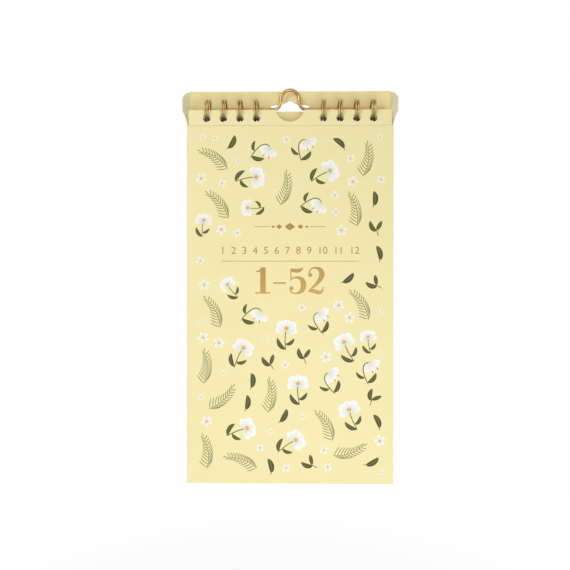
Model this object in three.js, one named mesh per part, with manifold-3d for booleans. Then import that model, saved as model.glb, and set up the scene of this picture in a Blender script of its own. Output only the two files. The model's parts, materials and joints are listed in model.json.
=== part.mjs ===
// A slim hanging weekly planner: a block of leaves between two cards on a twin-loop wire
// binding, with a wire hanger and a hood that is folded back round the loops.
// Millimetres. X is to the right, the front faces -Y, Z is up.
// Inside the binding group the loops' common axis is the X axis. The finished planner is
// moved so that the origin is the point under the hook where a nail carries it.

import * as THREE from 'three';
import { mergeVertices } from 'three/addons/utils/BufferGeometryUtils.js';
import Module from 'manifold-3d';

// Wire binding
const LOOP_PITCH = 25.4 / 3;
const SKIPPED_LOOPS = 3;
const LOOP_RADIUS = 5.1;
const WIRE_DIAMETER = 0.9;
const WIRE_BEND_RADIUS = 0.9;
const ROOT_ANGLE = THREE.MathUtils.degToRad(78);
const SEAM_WIDTH = 1.5;

// Holes that the loops run through
const HOLE_DIAMETER = 4.0;
const HOLE_DROP = 4.1;
const HOLE_PLAY = 0.24;
const HOLE_SIDE_MARGIN = 4.0;
const STRAND_LEAN = THREE.MathUtils.degToRad(46);

// Front cover
const COVER_WIDTH = 105;
const COVER_HEIGHT = 190;
const STRIP_INSET = 1.0;
const FRONT_CARD = 0.35;
const CREASE_DROP = 7.8;
const CREASE_GAP = 0.1;

// Leaves, one solid for each month's weeks
const MONTHS = 12;
const MONTH_THICKNESS = 0.42;
const LEAF_INSET = 0.8;
const LEAF_HEIGHT = 188.8;
const SHEET_AIR = 0.06;

// Thumb notch in the strip and the leaves
const NOTCH_WIDTH = 14.8;
const NOTCH_DEPTH = 6.0;

// Back card: panel, binding flap and hood
const BACK_CARD = 0.45;
const FLAP_INSET = 4.0;
const FLAP_RISE = 1.05;
const FLAP_CLEARANCE = 0.4;
const WINDOW_CLEARANCE = 0.5;

// Hood and its folded hem
const HOOD_TOP = 12.5;
const HOOD_AIR = 0.35;
const HOOD_BOW = 1.0;
const HOOD_TOP_LEAN = 0.3;
const HOOD_ROOT_EASE = 0.15;
const HOOD_ROOT_FLARE = 1.0;
const EAR_FLARE = 3.8;
const EAR_LOW = 2.0;
const EAR_HIGH = 7.0;
const HEM_INSET = 0.1;
const HEM_LOW = 1.6;
const HEM_GAP = 0.05;

// Cut-out in the hood behind the hook
const SLOT_WIDTH = 20;
const SLOT_TOP = 5.7;
const SLOT_CORNER = 1.6;
const HUMP_WIDTH = 9.5;
const HUMP_RISE = 2.0;

// Wire hanger
const HANGER_DIAMETER = 1.7;
const HANGER_SEAT_ANGLE = THREE.MathUtils.degToRad(65);
const HANGER_SEAT_CLEARANCE = 0.1;
const HANGER_LOOPS = 3;
const HANGER_END_OVERHANG = 2.0;
const HOOK_RISE = 10.14;
const HOOK_RADIUS = 4.75;
const HOOK_LEG = 1.0;
const HOOK_BASE_WIDTH = 18.6;

// Facets
const HOLE_SIDES = 12;
const ARC_SEGMENTS = 6;
const WIRE_SIDES = 6;
const HANGER_SIDES = 10;
const STRAND_STEPS = 18;
const TIP_STEPS = 4;
const CORNER_STEPS = 2;
const BRIDGE_STEPS = 1;
const ARM_STEPS = 1;
const FLARE_STEPS = 7;
const ARCH_STEPS = 14;
const HOOD_SEGMENTS = 14;

// Least distance at which two corners of a mesh still count as one
const MERGE_TOLERANCE = 1e-4;

// Derived sizes
const STRIP_WIDTH = COVER_WIDTH - 2 * STRIP_INSET;
const LEAF_WIDTH = COVER_WIDTH - 2 * LEAF_INSET;
const FLAP_WIDTH = COVER_WIDTH - 2 * FLAP_INSET;
const HEM_WIDTH = COVER_WIDTH - 2 * HEM_INSET;
const HOOD_ROOT_WIDTH = COVER_WIDTH + 2 * HOOD_ROOT_FLARE;
const EAR_WIDTH = COVER_WIDTH + 2 * EAR_FLARE;
const FIRST_LOOP = (SKIPPED_LOOPS + 1) / 2;
const LAST_LOOP = Math.floor((FLAP_WIDTH / 2 - HOLE_SIDE_MARGIN) / LOOP_PITCH);
const LOOPS_PER_WIRE = LAST_LOOP - FIRST_LOOP + 1;
const WIRE_RADIUS = WIRE_DIAMETER / 2;
const HANGER_RADIUS = HANGER_DIAMETER / 2;
const HOLE_RADIUS = HOLE_DIAMETER / 2;
const BLOCK_DEPTH = MONTHS * MONTH_THICKNESS + (MONTHS - 1) * SHEET_AIR;
const FRONT_CARD_BACK = -BLOCK_DEPTH / 2 - SHEET_AIR;
const FRONT_CARD_MIDDLE = FRONT_CARD_BACK - FRONT_CARD / 2;
const BACK_CARD_FRONT = BLOCK_DEPTH / 2 + SHEET_AIR;
const BACK_CARD_MIDDLE = BACK_CARD_FRONT + BACK_CARD / 2;
const FULL_TURN = 2 * Math.PI;

const wasm = await Module();
wasm.setup();

/** Depth of the loops' wire below their axis where they cross the plane y. */
function loopDepth(y) {
  return Math.sqrt(LOOP_RADIUS ** 2 - y ** 2);
}

/** How far a slanting wire reaches up and down inside a card that it crosses at y. */
function wireReach(y, card) {
  const cosine = loopDepth(y) / LOOP_RADIUS;
  const tangent = Math.abs(y) / loopDepth(y);
  return WIRE_RADIUS / cosine + (card / 2) * tangent;
}

const OUTER_REACH = wireReach(BACK_CARD_MIDDLE, BACK_CARD);
const HOLE_FLAT_RADIUS = HOLE_RADIUS * Math.cos(Math.PI / HOLE_SIDES);
const STRAND_SEAT = HOLE_FLAT_RADIUS - OUTER_REACH - HOLE_PLAY;
const STRAND_OFFSET = STRAND_SEAT * Math.sin(STRAND_LEAN);
const SEAT_DROP = STRAND_SEAT * Math.cos(STRAND_LEAN);

/** Height of the hole centres of a sheet at y, which hangs on the wire with its holes. */
function holeHeight(y) {
  return -loopDepth(y) - SEAT_DROP;
}

const STRIP_TOP = holeHeight(FRONT_CARD_MIDDLE) + HOLE_DROP;
const CREASE_HEIGHT = STRIP_TOP - CREASE_DROP;
const COVER_BOTTOM = STRIP_TOP - COVER_HEIGHT;

/** X places of the loops of one wire, side -1 on the left and 1 on the right. */
function loopPlaces(side) {
  const places = Array.from({ length: LOOPS_PER_WIRE }, (_, k) => (FIRST_LOOP + k) * LOOP_PITCH);
  return side < 0 ? places.reverse().map((x) => -x) : places;
}

const ALL_LOOPS = [...loopPlaces(-1), ...loopPlaces(1)];

const FINISH = {
  cover: { color: 0xf4e8a8, roughness: 0.55, metalness: 0 },
  leaf: { color: 0xf7f4e8, roughness: 0.8, metalness: 0 },
  back: { color: 0xefe3a6, roughness: 0.6, metalness: 0 },
  inside: { color: 0xd8d2b4, roughness: 0.75, metalness: 0 },
  hem: { color: 0xe3cf93, roughness: 0.6, metalness: 0 },
  gold: { color: 0xb98a4a, roughness: 0.3, metalness: 0.9 },
};

/** A named mesh with a material of its own. */
function piece(name, geometry, finish) {
  const mesh = new THREE.Mesh(geometry, new THREE.MeshStandardMaterial(finish));
  mesh.name = name;
  return mesh;
}

/** Cuts a round binding hole into a flat outline at every loop. */
function punchHoles(shape, height) {
  for (const x of ALL_LOOPS) {
    const hole = new THREE.Path();
    hole.absarc(x, height, HOLE_RADIUS, 0, FULL_TURN, true);
    shape.holes.push(hole);
  }
}

/** Rectangle between two heights, centred on X. */
function plainOutline(width, bottom, top) {
  const half = width / 2;
  const shape = new THREE.Shape();
  shape.moveTo(-half, bottom);
  shape.lineTo(half, bottom);
  shape.lineTo(half, top);
  shape.lineTo(-half, top);
  shape.closePath();
  return shape;
}

/** The same rectangle with the thumb notch, one arc, in its top edge. */
function notchedOutline(width, bottom, top) {
  const half = width / 2;
  const halfNotch = NOTCH_WIDTH / 2;
  const radius = (halfNotch ** 2 + NOTCH_DEPTH ** 2) / (2 * NOTCH_DEPTH);
  const lift = radius - NOTCH_DEPTH;
  const dip = Math.asin(lift / radius);
  const shape = new THREE.Shape();
  shape.moveTo(-half, bottom);
  shape.lineTo(half, bottom);
  shape.lineTo(half, top);
  shape.lineTo(halfNotch, top);
  shape.absarc(0, top + lift, radius, -dip, dip - Math.PI, true);
  shape.lineTo(-half, top);
  shape.closePath();
  return shape;
}

/** A flat sheet: the outline is its front view and y its front face. */
function sheet(shape, front, thickness) {
  const options = { depth: thickness, bevelEnabled: false, curveSegments: HOLE_SIDES / 2 };
  const geometry = new THREE.ExtrudeGeometry(shape, options);
  geometry.rotateX(Math.PI / 2);
  geometry.translate(0, front + thickness, 0);
  return geometry;
}

/** Bound part of the front cover, from its top edge to the crease. */
function frontCoverStrip() {
  const shape = notchedOutline(STRIP_WIDTH, CREASE_HEIGHT + CREASE_GAP / 2, STRIP_TOP);
  punchHoles(shape, STRIP_TOP - HOLE_DROP);
  const geometry = sheet(shape, FRONT_CARD_BACK - FRONT_CARD, FRONT_CARD);
  return piece('front_cover_strip', geometry, FINISH.cover);
}

/** Front cover below the crease. */
function frontCoverPanel() {
  const shape = plainOutline(COVER_WIDTH, COVER_BOTTOM, CREASE_HEIGHT - CREASE_GAP / 2);
  const geometry = sheet(shape, FRONT_CARD_BACK - FRONT_CARD, FRONT_CARD);
  return piece('front_cover_panel', geometry, FINISH.cover);
}

/** The leaves of one month, which hang on the wire a little lower in the block's middle. */
function monthLeaves(index) {
  const front = -BLOCK_DEPTH / 2 + index * (MONTH_THICKNESS + SHEET_AIR);
  const holes = holeHeight(front + MONTH_THICKNESS / 2);
  const top = holes + HOLE_DROP;
  const shape = notchedOutline(LEAF_WIDTH, top - LEAF_HEIGHT, top);
  punchHoles(shape, holes);
  const label = String(index + 1).padStart(2, '0');
  return piece(`month_${label}_leaves`, sheet(shape, front, MONTH_THICKNESS), FINISH.leaf);
}

/** Back card below the crease. */
function backCoverPanel() {
  const shape = plainOutline(COVER_WIDTH, COVER_BOTTOM, CREASE_HEIGHT - CREASE_GAP / 2);
  return piece('back_cover_panel', sheet(shape, BACK_CARD_FRONT, BACK_CARD), FINISH.back);
}

/** Tab of the back card that stands up behind the leaves and is bound with them. */
function bindingFlap() {
  const shape = plainOutline(FLAP_WIDTH, CREASE_HEIGHT + CREASE_GAP / 2, STRIP_TOP + FLAP_RISE);
  punchHoles(shape, holeHeight(BACK_CARD_MIDDLE));
  return piece('binding_flap', sheet(shape, BACK_CARD_FRONT, BACK_CARD), FINISH.hem);
}

/** Middle line of the bowed hood in side view, as (y, z), from the crease to the top. */
function hoodLine() {
  const hemDepth = BACK_CARD + HEM_GAP;
  const belly = LOOP_RADIUS + WIRE_RADIUS + HOOD_AIR + hemDepth + BACK_CARD / 2;
  const root = CREASE_HEIGHT + CREASE_GAP / 2;
  const top = STRIP_TOP + HOOD_TOP - BACK_CARD;
  const height = top - root;
  return new THREE.CubicBezierCurve(
    new THREE.Vector2(BACK_CARD_MIDDLE, root),
    new THREE.Vector2(belly, root + HOOD_ROOT_EASE * height),
    new THREE.Vector2(belly + HOOD_BOW, root + height / 2),
    new THREE.Vector2(belly - HOOD_TOP_LEAN, top),
  );
}

/** Turns a closed three.js geometry into a solid for joining and cutting. */
function toSolid(geometry) {
  const bare = geometry.clone();
  bare.deleteAttribute('normal');
  bare.deleteAttribute('uv');
  const merged = mergeVertices(bare, MERGE_TOLERANCE);
  const mesh = new wasm.Mesh({
    numProp: 3,
    vertProperties: new Float32Array(merged.attributes.position.array),
    triVerts: new Uint32Array(merged.index.array),
  });
  return new wasm.Manifold(mesh);
}

/** Turns a solid back into a geometry with flat normals. */
function toGeometry(solid) {
  const mesh = solid.getMesh();
  const geometry = new THREE.BufferGeometry();
  geometry.setAttribute('position', new THREE.BufferAttribute(mesh.vertProperties, 3));
  geometry.setIndex(new THREE.BufferAttribute(mesh.triVerts, 1));
  const flat = geometry.toNonIndexed();
  flat.computeVertexNormals();
  return flat;
}

/** Draws the cut-out's edge from left to right: a slot with a hump over its middle. */
function drawSlotEdge(shape, low) {
  const half = SLOT_WIDTH / 2;
  const top = STRIP_TOP + SLOT_TOP;
  const foot = HUMP_WIDTH / 2;
  const peak = top + HUMP_RISE;
  shape.lineTo(-half, low);
  shape.lineTo(-half, top - SLOT_CORNER);
  shape.quadraticCurveTo(-half, top, SLOT_CORNER - half, top);
  shape.lineTo(-foot, top);
  shape.bezierCurveTo(-foot / 2, top, -foot / 2, peak, 0, peak);
  shape.bezierCurveTo(foot / 2, peak, foot / 2, top, foot, top);
  shape.lineTo(half - SLOT_CORNER, top);
  shape.quadraticCurveTo(half, top, half, top - SLOT_CORNER);
  shape.lineTo(half, low);
}

/** Front view of the hood: two ears that stand on the crease and a band that joins them. */
function hoodOutline() {
  const root = CREASE_HEIGHT;
  const top = STRIP_TOP + HOOD_TOP - BACK_CARD;
  const rootHalf = HOOD_ROOT_WIDTH / 2;
  const earHalf = EAR_WIDTH / 2;
  const hemHalf = HEM_WIDTH / 2;
  const low = STRIP_TOP + EAR_LOW;
  const high = STRIP_TOP + EAR_HIGH;
  const middle = (root + low) / 2;
  const windowHalf = FLAP_WIDTH / 2 + FLAP_CLEARANCE;
  const windowTop = STRIP_TOP + FLAP_RISE + WINDOW_CLEARANCE;
  const shape = new THREE.Shape();
  shape.moveTo(windowHalf, windowTop);
  shape.lineTo(windowHalf, root);
  shape.lineTo(rootHalf, root);
  shape.bezierCurveTo(rootHalf, middle, earHalf, middle, earHalf, low);
  shape.lineTo(earHalf, high);
  shape.quadraticCurveTo(earHalf, top, hemHalf, top);
  shape.lineTo(hemHalf, top + BACK_CARD);
  shape.lineTo(-hemHalf, top + BACK_CARD);
  shape.lineTo(-hemHalf, top);
  shape.quadraticCurveTo(-earHalf, top, -earHalf, high);
  shape.lineTo(-earHalf, low);
  shape.bezierCurveTo(-earHalf, middle, -rootHalf, middle, -rootHalf, root);
  shape.lineTo(-windowHalf, root);
  shape.lineTo(-windowHalf, windowTop);
  drawSlotEdge(shape, windowTop);
  shape.closePath();
  return shape;
}

/** Front view of the hem: a band with the same cut-out in its lower edge. */
function hemOutline() {
  const half = HEM_WIDTH / 2;
  const low = STRIP_TOP + HEM_LOW;
  const top = STRIP_TOP + HOOD_TOP + BACK_CARD;
  const shape = new THREE.Shape();
  shape.moveTo(half, low);
  shape.lineTo(half, top);
  shape.lineTo(-half, top);
  shape.lineTo(-half, low);
  drawSlotEdge(shape, low);
  shape.closePath();
  return shape;
}

/** Solid that keeps only what lies inside a front view, at any depth. */
function frontCutter(shape) {
  const reach = LOOP_RADIUS * 4;
  const options = { depth: reach, bevelEnabled: false, curveSegments: ARC_SEGMENTS };
  const geometry = new THREE.ExtrudeGeometry(shape, options);
  geometry.rotateX(Math.PI / 2);
  geometry.translate(0, reach, 0);
  return toSolid(geometry);
}

/** Places of the hood's middle line, each with its direction upwards and forwards. */
function hoodStations() {
  const line = hoodLine();
  return Array.from({ length: HOOD_SEGMENTS + 1 }, (_, k) => {
    const at = line.getPoint(k / HOOD_SEGMENTS);
    const up = line.getTangent(k / HOOD_SEGMENTS);
    return { at, up, forward: new THREE.Vector2(-up.y, up.x) };
  });
}

/** A point beside a station: forwards across the card and upwards along it. */
function beside(station, forward, up) {
  return station.at.clone().addScaledVector(station.forward, forward).addScaledVector(station.up, up);
}

/** Extrudes a side view, given as (y, z), along the whole width. */
function alongWidth(outline, width) {
  const options = { depth: width, bevelEnabled: false };
  const geometry = new THREE.ExtrudeGeometry(new THREE.Shape(outline), options);
  geometry.translate(0, 0, -width / 2);
  const turn = new THREE.Matrix4().makeBasis(
    new THREE.Vector3(0, 1, 0),
    new THREE.Vector3(0, 0, 1),
    new THREE.Vector3(1, 0, 0),
  );
  return toSolid(geometry.applyMatrix4(turn));
}

/** The hood: the back card's upper part, bowed back from the crease round the loops. */
function hood() {
  const stations = hoodStations();
  const half = BACK_CARD / 2;
  const front = stations.map((s) => beside(s, half, 0));
  const back = stations.map((s) => beside(s, -half, 0)).reverse();
  const card = alongWidth([...front, ...back], EAR_WIDTH + 2 * BACK_CARD);
  return piece('hood', toGeometry(card.intersect(frontCutter(hoodOutline()))), FINISH.inside);
}

/** The hem: the hood's top folded forward and down over its inside, printed side out. */
function hoodHem() {
  const stations = hoodStations();
  const last = stations[HOOD_SEGMENTS];
  const inner = BACK_CARD / 2 + HEM_GAP;
  const outer = inner + BACK_CARD;
  const foldRadius = (outer + BACK_CARD / 2) / 2;
  const foldCentre = (outer - BACK_CARD / 2) / 2;
  const fold = Array.from({ length: ARC_SEGMENTS + 1 }, (_, k) => {
    const angle = (Math.PI * k) / ARC_SEGMENTS;
    const forward = foldCentre + foldRadius * Math.cos(angle);
    return beside(last, forward, HEM_GAP + foldRadius * Math.sin(angle));
  });
  const front = stations.map((s) => beside(s, outer, 0));
  const back = stations.slice(0, HOOD_SEGMENTS).map((s) => beside(s, inner, 0)).reverse();
  const outline = [...front, ...fold, beside(last, inner, HEM_GAP), ...back];
  const card = alongWidth(outline, HEM_WIDTH + 2 * BACK_CARD);
  return piece('hood_hem', toGeometry(card.intersect(frontCutter(hemOutline()))), FINISH.hem);
}

/** A bent wire's middle line: stretches one after another, each with its own even steps. */
class BentWire extends THREE.Curve {
  constructor(stretches) {
    super();
    this.stretches = stretches;
    this.steps = stretches.reduce((sum, stretch) => sum + stretch.steps, 0);
  }

  getPoint(t, target = new THREE.Vector3()) {
    let place = THREE.MathUtils.clamp(t, 0, 1) * this.steps;
    let index = 0;
    while (index < this.stretches.length - 1 && place > this.stretches[index].steps) {
      place -= this.stretches[index].steps;
      index += 1;
    }
    const stretch = this.stretches[index];
    return target.copy(stretch.at(Math.min(place / stretch.steps, 1)));
  }

  getPointAt(u, target) {
    return this.getPoint(u, target);
  }

  getTangentAt(u, target) {
    return this.getTangent(u, target);
  }
}

/** A round wire along a bent middle line. */
function wireAlong(curve, radius, sides) {
  const section = new THREE.Shape();
  for (let k = 0; k < sides; k += 1) {
    const angle = (FULL_TURN * k) / sides;
    const point = [radius * Math.cos(angle), radius * Math.sin(angle)];
    if (k === 0) {
      section.moveTo(...point);
    } else {
      section.lineTo(...point);
    }
  }
  section.closePath();
  return new THREE.ExtrudeGeometry(section, { steps: curve.steps, extrudePath: curve });
}

/** A point of the loops' cylinder, from its place on the unrolled sheet: across and along. */
function onLoops(across, along) {
  const angle = ROOT_ANGLE + along / LOOP_RADIUS;
  return new THREE.Vector3(across, LOOP_RADIUS * Math.sin(angle), -LOOP_RADIUS * Math.cos(angle));
}

/** Straight stretch of the unrolled loops. */
function straightOnLoops(from, to, steps) {
  const at = (f) => onLoops(from[0] + (to[0] - from[0]) * f, from[1] + (to[1] - from[1]) * f);
  return { at, steps };
}

/** Round bend of the unrolled loops between two angles about a centre. */
function bendOnLoops(centre, radius, start, end, steps) {
  const at = (f) => {
    const angle = start + (end - start) * f;
    return onLoops(centre[0] + radius * Math.cos(angle), centre[1] + radius * Math.sin(angle));
  };
  return { at, steps };
}

/** One double loop: up from the root line, round the closed tip and back down. */
function doubleLoop(x, isFirst, isLast) {
  const tip = FULL_TURN * LOOP_RADIUS - SEAM_WIDTH - STRAND_OFFSET;
  const left = x - STRAND_OFFSET;
  const right = x + STRAND_OFFSET;
  const bend = WIRE_BEND_RADIUS;
  const quarter = Math.PI / 2;
  const start = isFirst ? 0 : bend;
  const end = isLast ? 0 : bend;
  const stretches = [];
  if (!isFirst) {
    stretches.push(bendOnLoops([left - bend, bend], bend, -quarter, 0, CORNER_STEPS));
  }
  stretches.push(straightOnLoops([left, start], [left, tip], STRAND_STEPS));
  stretches.push(bendOnLoops([x, tip], STRAND_OFFSET, Math.PI, 0, TIP_STEPS));
  stretches.push(straightOnLoops([right, tip], [right, end], STRAND_STEPS));
  if (!isLast) {
    stretches.push(bendOnLoops([right + bend, bend], bend, Math.PI, Math.PI + quarter, CORNER_STEPS));
  }
  return stretches;
}

/** Middle line of one binding wire: double loops joined along the root line by bridges. */
function loopWireLine(side) {
  const places = loopPlaces(side);
  const stretches = [];
  places.forEach((x, k) => {
    const isLast = k === places.length - 1;
    stretches.push(...doubleLoop(x, k === 0, isLast));
    if (!isLast) {
      const from = [x + STRAND_OFFSET + WIRE_BEND_RADIUS, 0];
      const to = [places[k + 1] - STRAND_OFFSET - WIRE_BEND_RADIUS, 0];
      stretches.push(straightOnLoops(from, to, BRIDGE_STEPS));
    }
  });
  return new BentWire(stretches);
}

/** Least gap between a wire and itself, on points that lie apart along it. */
function leastSelfGap(curve, diameter) {
  const count = curve.steps * 4;
  const points = Array.from({ length: count + 1 }, (_, k) => curve.getPoint(k / count));
  const along = [0];
  for (let k = 1; k <= count; k += 1) {
    along.push(along[k - 1] + points[k].distanceTo(points[k - 1]));
  }
  let least = Infinity;
  for (let a = 0; a <= count; a += 1) {
    for (let b = a + 1; b <= count; b += 1) {
      if (along[b] - along[a] > 3 * diameter) {
        least = Math.min(least, points[a].distanceTo(points[b]) - diameter);
      }
    }
  }
  return least;
}

/** One of the two twin-loop wires. */
function loopWire(name, side) {
  const line = loopWireLine(side);
  console.log(`${name}: least gap to itself ${leastSelfGap(line, WIRE_DIAMETER).toFixed(2)} mm`);
  return piece(name, wireAlong(line, WIRE_RADIUS, WIRE_SIDES), FINISH.gold);
}

/** Place of the hanger's arms against the inside of the loops, as (y, z). */
function hangerSeat() {
  const flatRadius = LOOP_RADIUS * Math.cos(Math.PI / STRAND_STEPS);
  const radius = flatRadius - WIRE_RADIUS - HANGER_RADIUS - HANGER_SEAT_CLEARANCE;
  return new THREE.Vector2(
    radius * Math.sin(HANGER_SEAT_ANGLE),
    radius * Math.cos(HANGER_SEAT_ANGLE),
  );
}

/** Left half of the hanger about its arms' line: arm, flare, leg and half the hook's arch. */
function hangerHalf() {
  const held = FIRST_LOOP + Math.min(HANGER_LOOPS, LOOPS_PER_WIRE) - 1;
  const reach = held * LOOP_PITCH + HANGER_END_OVERHANG;
  const base = HOOK_BASE_WIDTH / 2;
  const archHeight = HOOK_RISE - HOOK_RADIUS;
  const flareTop = archHeight - HOOK_LEG;
  const flare = new THREE.CubicBezierCurve3(
    new THREE.Vector3(-base, 0, 0),
    new THREE.Vector3((HOOK_RADIUS - 3 * base) / 4, 0, 0),
    new THREE.Vector3(-HOOK_RADIUS, 0, flareTop / 2),
    new THREE.Vector3(-HOOK_RADIUS, 0, flareTop),
  );
  const arm = new THREE.LineCurve3(new THREE.Vector3(-reach, 0, 0), new THREE.Vector3(-base, 0, 0));
  const leg = new THREE.LineCurve3(
    new THREE.Vector3(-HOOK_RADIUS, 0, flareTop),
    new THREE.Vector3(-HOOK_RADIUS, 0, archHeight),
  );
  const arch = (f) => {
    const angle = Math.PI - (Math.PI / 2) * f;
    const across = HOOK_RADIUS * Math.cos(angle);
    return new THREE.Vector3(across, 0, archHeight + HOOK_RADIUS * Math.sin(angle));
  };
  return [
    { at: (f) => arm.getPoint(f), steps: ARM_STEPS },
    { at: (f) => flare.getPoint(f), steps: FLARE_STEPS },
    { at: (f) => leg.getPoint(f), steps: ARM_STEPS },
    { at: arch, steps: ARCH_STEPS / 2 },
  ];
}

/** The wire hanger: the left half and its mirror image, bent from one wire. */
function wireHanger() {
  const left = hangerHalf();
  const mirror = (stretch) => ({
    at: (f) => stretch.at(1 - f).multiply(new THREE.Vector3(-1, 1, 1)),
    steps: stretch.steps,
  });
  const line = new BentWire([...left, ...left.map(mirror).reverse()]);
  const seat = hangerSeat();
  const mesh = piece('wire_hanger', wireAlong(line, HANGER_RADIUS, HANGER_SIDES), FINISH.gold);
  mesh.position.set(0, seat.x, seat.y);
  return mesh;
}

/** Cards, leaves and wires, placed about the loops' axis. */
function boundPlanner() {
  const group = new THREE.Group();
  group.add(frontCoverStrip(), frontCoverPanel());
  for (let index = 0; index < MONTHS; index += 1) {
    group.add(monthLeaves(index));
  }
  group.add(backCoverPanel(), bindingFlap(), hood(), hoodHem());
  group.add(loopWire('wire_left', -1), loopWire('wire_right', 1), wireHanger());
  return group;
}

/** The whole planner with its origin at the point that a nail under the hook carries. */
function weeklyPlanner() {
  const seat = hangerSeat();
  const planner = new THREE.Group();
  const bound = boundPlanner();
  bound.position.set(0, -seat.x, -(seat.y + HOOK_RISE - HANGER_RADIUS));
  planner.add(bound);
  return planner;
}

export default weeklyPlanner();
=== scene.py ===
"""Looks of a slim hanging weekly planner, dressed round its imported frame.

Metres, in the frame's axes: X to the right, the front faces -Y, Z up. Sizes are written in
millimetres and multiplied by MM.
"""

import json
import logging
import math
from collections.abc import Callable
from dataclasses import dataclass, field
from enum import Enum

import bpy
import numpy as np
from mathutils import Matrix, Vector


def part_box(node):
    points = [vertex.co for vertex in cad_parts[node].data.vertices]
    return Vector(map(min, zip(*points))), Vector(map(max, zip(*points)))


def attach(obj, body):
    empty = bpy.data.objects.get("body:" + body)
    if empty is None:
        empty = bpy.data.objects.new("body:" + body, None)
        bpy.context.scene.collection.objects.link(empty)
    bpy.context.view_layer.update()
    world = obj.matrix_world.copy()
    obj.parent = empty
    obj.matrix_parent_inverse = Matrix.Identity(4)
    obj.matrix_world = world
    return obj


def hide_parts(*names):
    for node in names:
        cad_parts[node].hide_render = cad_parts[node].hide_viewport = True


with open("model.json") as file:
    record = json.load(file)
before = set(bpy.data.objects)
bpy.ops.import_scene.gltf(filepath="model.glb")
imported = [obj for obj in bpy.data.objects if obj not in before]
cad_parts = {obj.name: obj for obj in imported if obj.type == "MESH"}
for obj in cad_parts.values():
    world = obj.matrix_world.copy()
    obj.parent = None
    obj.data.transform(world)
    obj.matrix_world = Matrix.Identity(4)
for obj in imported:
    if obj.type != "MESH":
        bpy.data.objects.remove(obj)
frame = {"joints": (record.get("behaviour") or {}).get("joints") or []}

Piece = bpy.types.Object
Material = bpy.types.Material
Socket = bpy.types.NodeSocket
Triple = tuple[float, float, float]
Colour = Triple

MM = 0.001
SEWING_GAP = 1e-7
FULL_TURN = 2 * math.pi
QUARTER_TURN = math.pi / 2
BOTH_SIDES = (-1, 1)
ACROSS = np.array([-1.0, 0.0, 1.0])
WHITE = (1, 1, 1)
STRIP = "front_cover_strip"
PANEL = "front_cover_panel"
BACK_PANEL = "back_cover_panel"
LOG = logging.getLogger("planner")


class Side(Enum):
    """The two wires of the binding, from left to right."""

    LEFT = "left"
    RIGHT = "right"


class Face(Enum):
    """The three kinds of face on a cut of card, in the order of its finishes."""

    FRONT = 0
    BACK = 1
    RIM = 2


class Ink(Enum):
    """The printing inks of the cover, each with its height above the card in mm."""

    TWIG = 0.012
    STEM = 0.016
    LEAF = 0.020
    PETAL = 0.026
    STAMEN = 0.032
    FOIL = 0.018


@dataclass
class Shape:
    """A piece's points, the corners of each face and the kind of each face."""

    points: np.ndarray
    faces: list[list[int]]
    kinds: np.ndarray


# Points and lines


def spread(start: float, end: float, steps: int) -> np.ndarray:
    """Even places from start to end, one more than there are steps."""
    return np.linspace(start, end, steps + 1)


def pairs(x: object, z: object) -> np.ndarray:
    """Points of two coordinates, each an array or one number for all."""
    return np.stack(np.broadcast_arrays(x, z), -1)


def plain_grid(x: np.ndarray, z: np.ndarray) -> np.ndarray:
    """Grid of every x crossed with every z, (rows, columns, 2)."""
    return pairs(x, z[:, None])


def ruled(low: np.ndarray, high: np.ndarray, shares: np.ndarray) -> np.ndarray:
    """Grid between two lines, with a row for each share: low + share * (high - low)."""
    return low + shares[:, None, None] * (high - low)


def arc(centre: tuple[float, float], radius: float, angles: np.ndarray) -> np.ndarray:
    """Points on a circle: centre + radius * (cos a, sin a)."""
    return np.array(centre) + radius * pairs(np.cos(angles), np.sin(angles))


def unit(vectors: np.ndarray) -> np.ndarray:
    """Vectors scaled to length one along the last axis."""
    return vectors / np.linalg.norm(vectors, axis=-1, keepdims=True)


def bezier(knots: object, t: np.ndarray) -> np.ndarray:
    """Bezier curves: knot k of n + 1 counts C(n, k) (1 - t)^(n - k) t^k.

    Args:
        knots: Knots of one curve, (n + 1, 2), or of many, (curves, n + 1, 2).
        t: Places along the curve, 0 to 1.

    Returns:
        Points, (places, 2) or (curves, places, 2).
    """
    degree = np.shape(knots)[-2] - 1
    weights = [math.comb(degree, k) * (1 - t) ** (degree - k) * t**k for k in range(degree + 1)]
    return np.stack(weights, 1) @ np.asarray(knots, float)


def ribbon(line: np.ndarray, along: np.ndarray, width: np.ndarray) -> np.ndarray:
    """Three points across a line at each place: p + w (-1, 0, 1) s, with s to its right.

    Args:
        line: Points of its middle, (..., 2).
        along: Its direction at each point.
        width: Half its width at each point.

    Returns:
        Points, (..., 3, 2).
    """
    ahead = unit(along)
    side = pairs(ahead[..., 1], -ahead[..., 0])
    return line[..., None, :] + (width[..., None] * ACROSS)[..., None] * side[..., None, :]


def eased(place: np.ndarray, stops: object, values: object) -> np.ndarray:
    """Values that ease from stop to stop: a + (b - a) * (1 - cos(pi * share)) / 2.

    Args:
        place: Places.
        stops: Places of the given values.
        values: The given values.

    Returns:
        A value for each place.
    """
    order = np.arange(len(stops))
    part = np.interp(place, stops, order)
    step = np.floor(part)
    return np.interp(step + (1 - np.cos(math.pi * (part - step))) / 2, order, values)


def ring_cell(x: float, z: float, radius: float, half: float, steps: int) -> np.ndarray:
    """Square cell round a punched hole: a circle led out to a square, angle by angle.

    Args:
        x: Centre across.
        z: Centre upwards.
        radius: Radius of the hole.
        half: Half the side of the square.
        steps: Steps along each side.

    Returns:
        Points from the hole outwards, (rings, 4 * steps + 1, 2).
    """
    walk = spread(-1, 1, steps)[:-1]
    sides = [pairs(walk, -1.0), pairs(1.0, walk), pairs(-walk, 1.0), pairs(-1.0, -walk)]
    square = half * np.concatenate([*sides, sides[0][:1]])
    circle = arc((0, 0), radius, spread(0, FULL_TURN, 4 * steps) - 0.75 * math.pi)
    return ruled(circle, square, np.array([0, 0.3, 1.0])) + np.array([x, z])


# Faces and pieces


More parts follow.
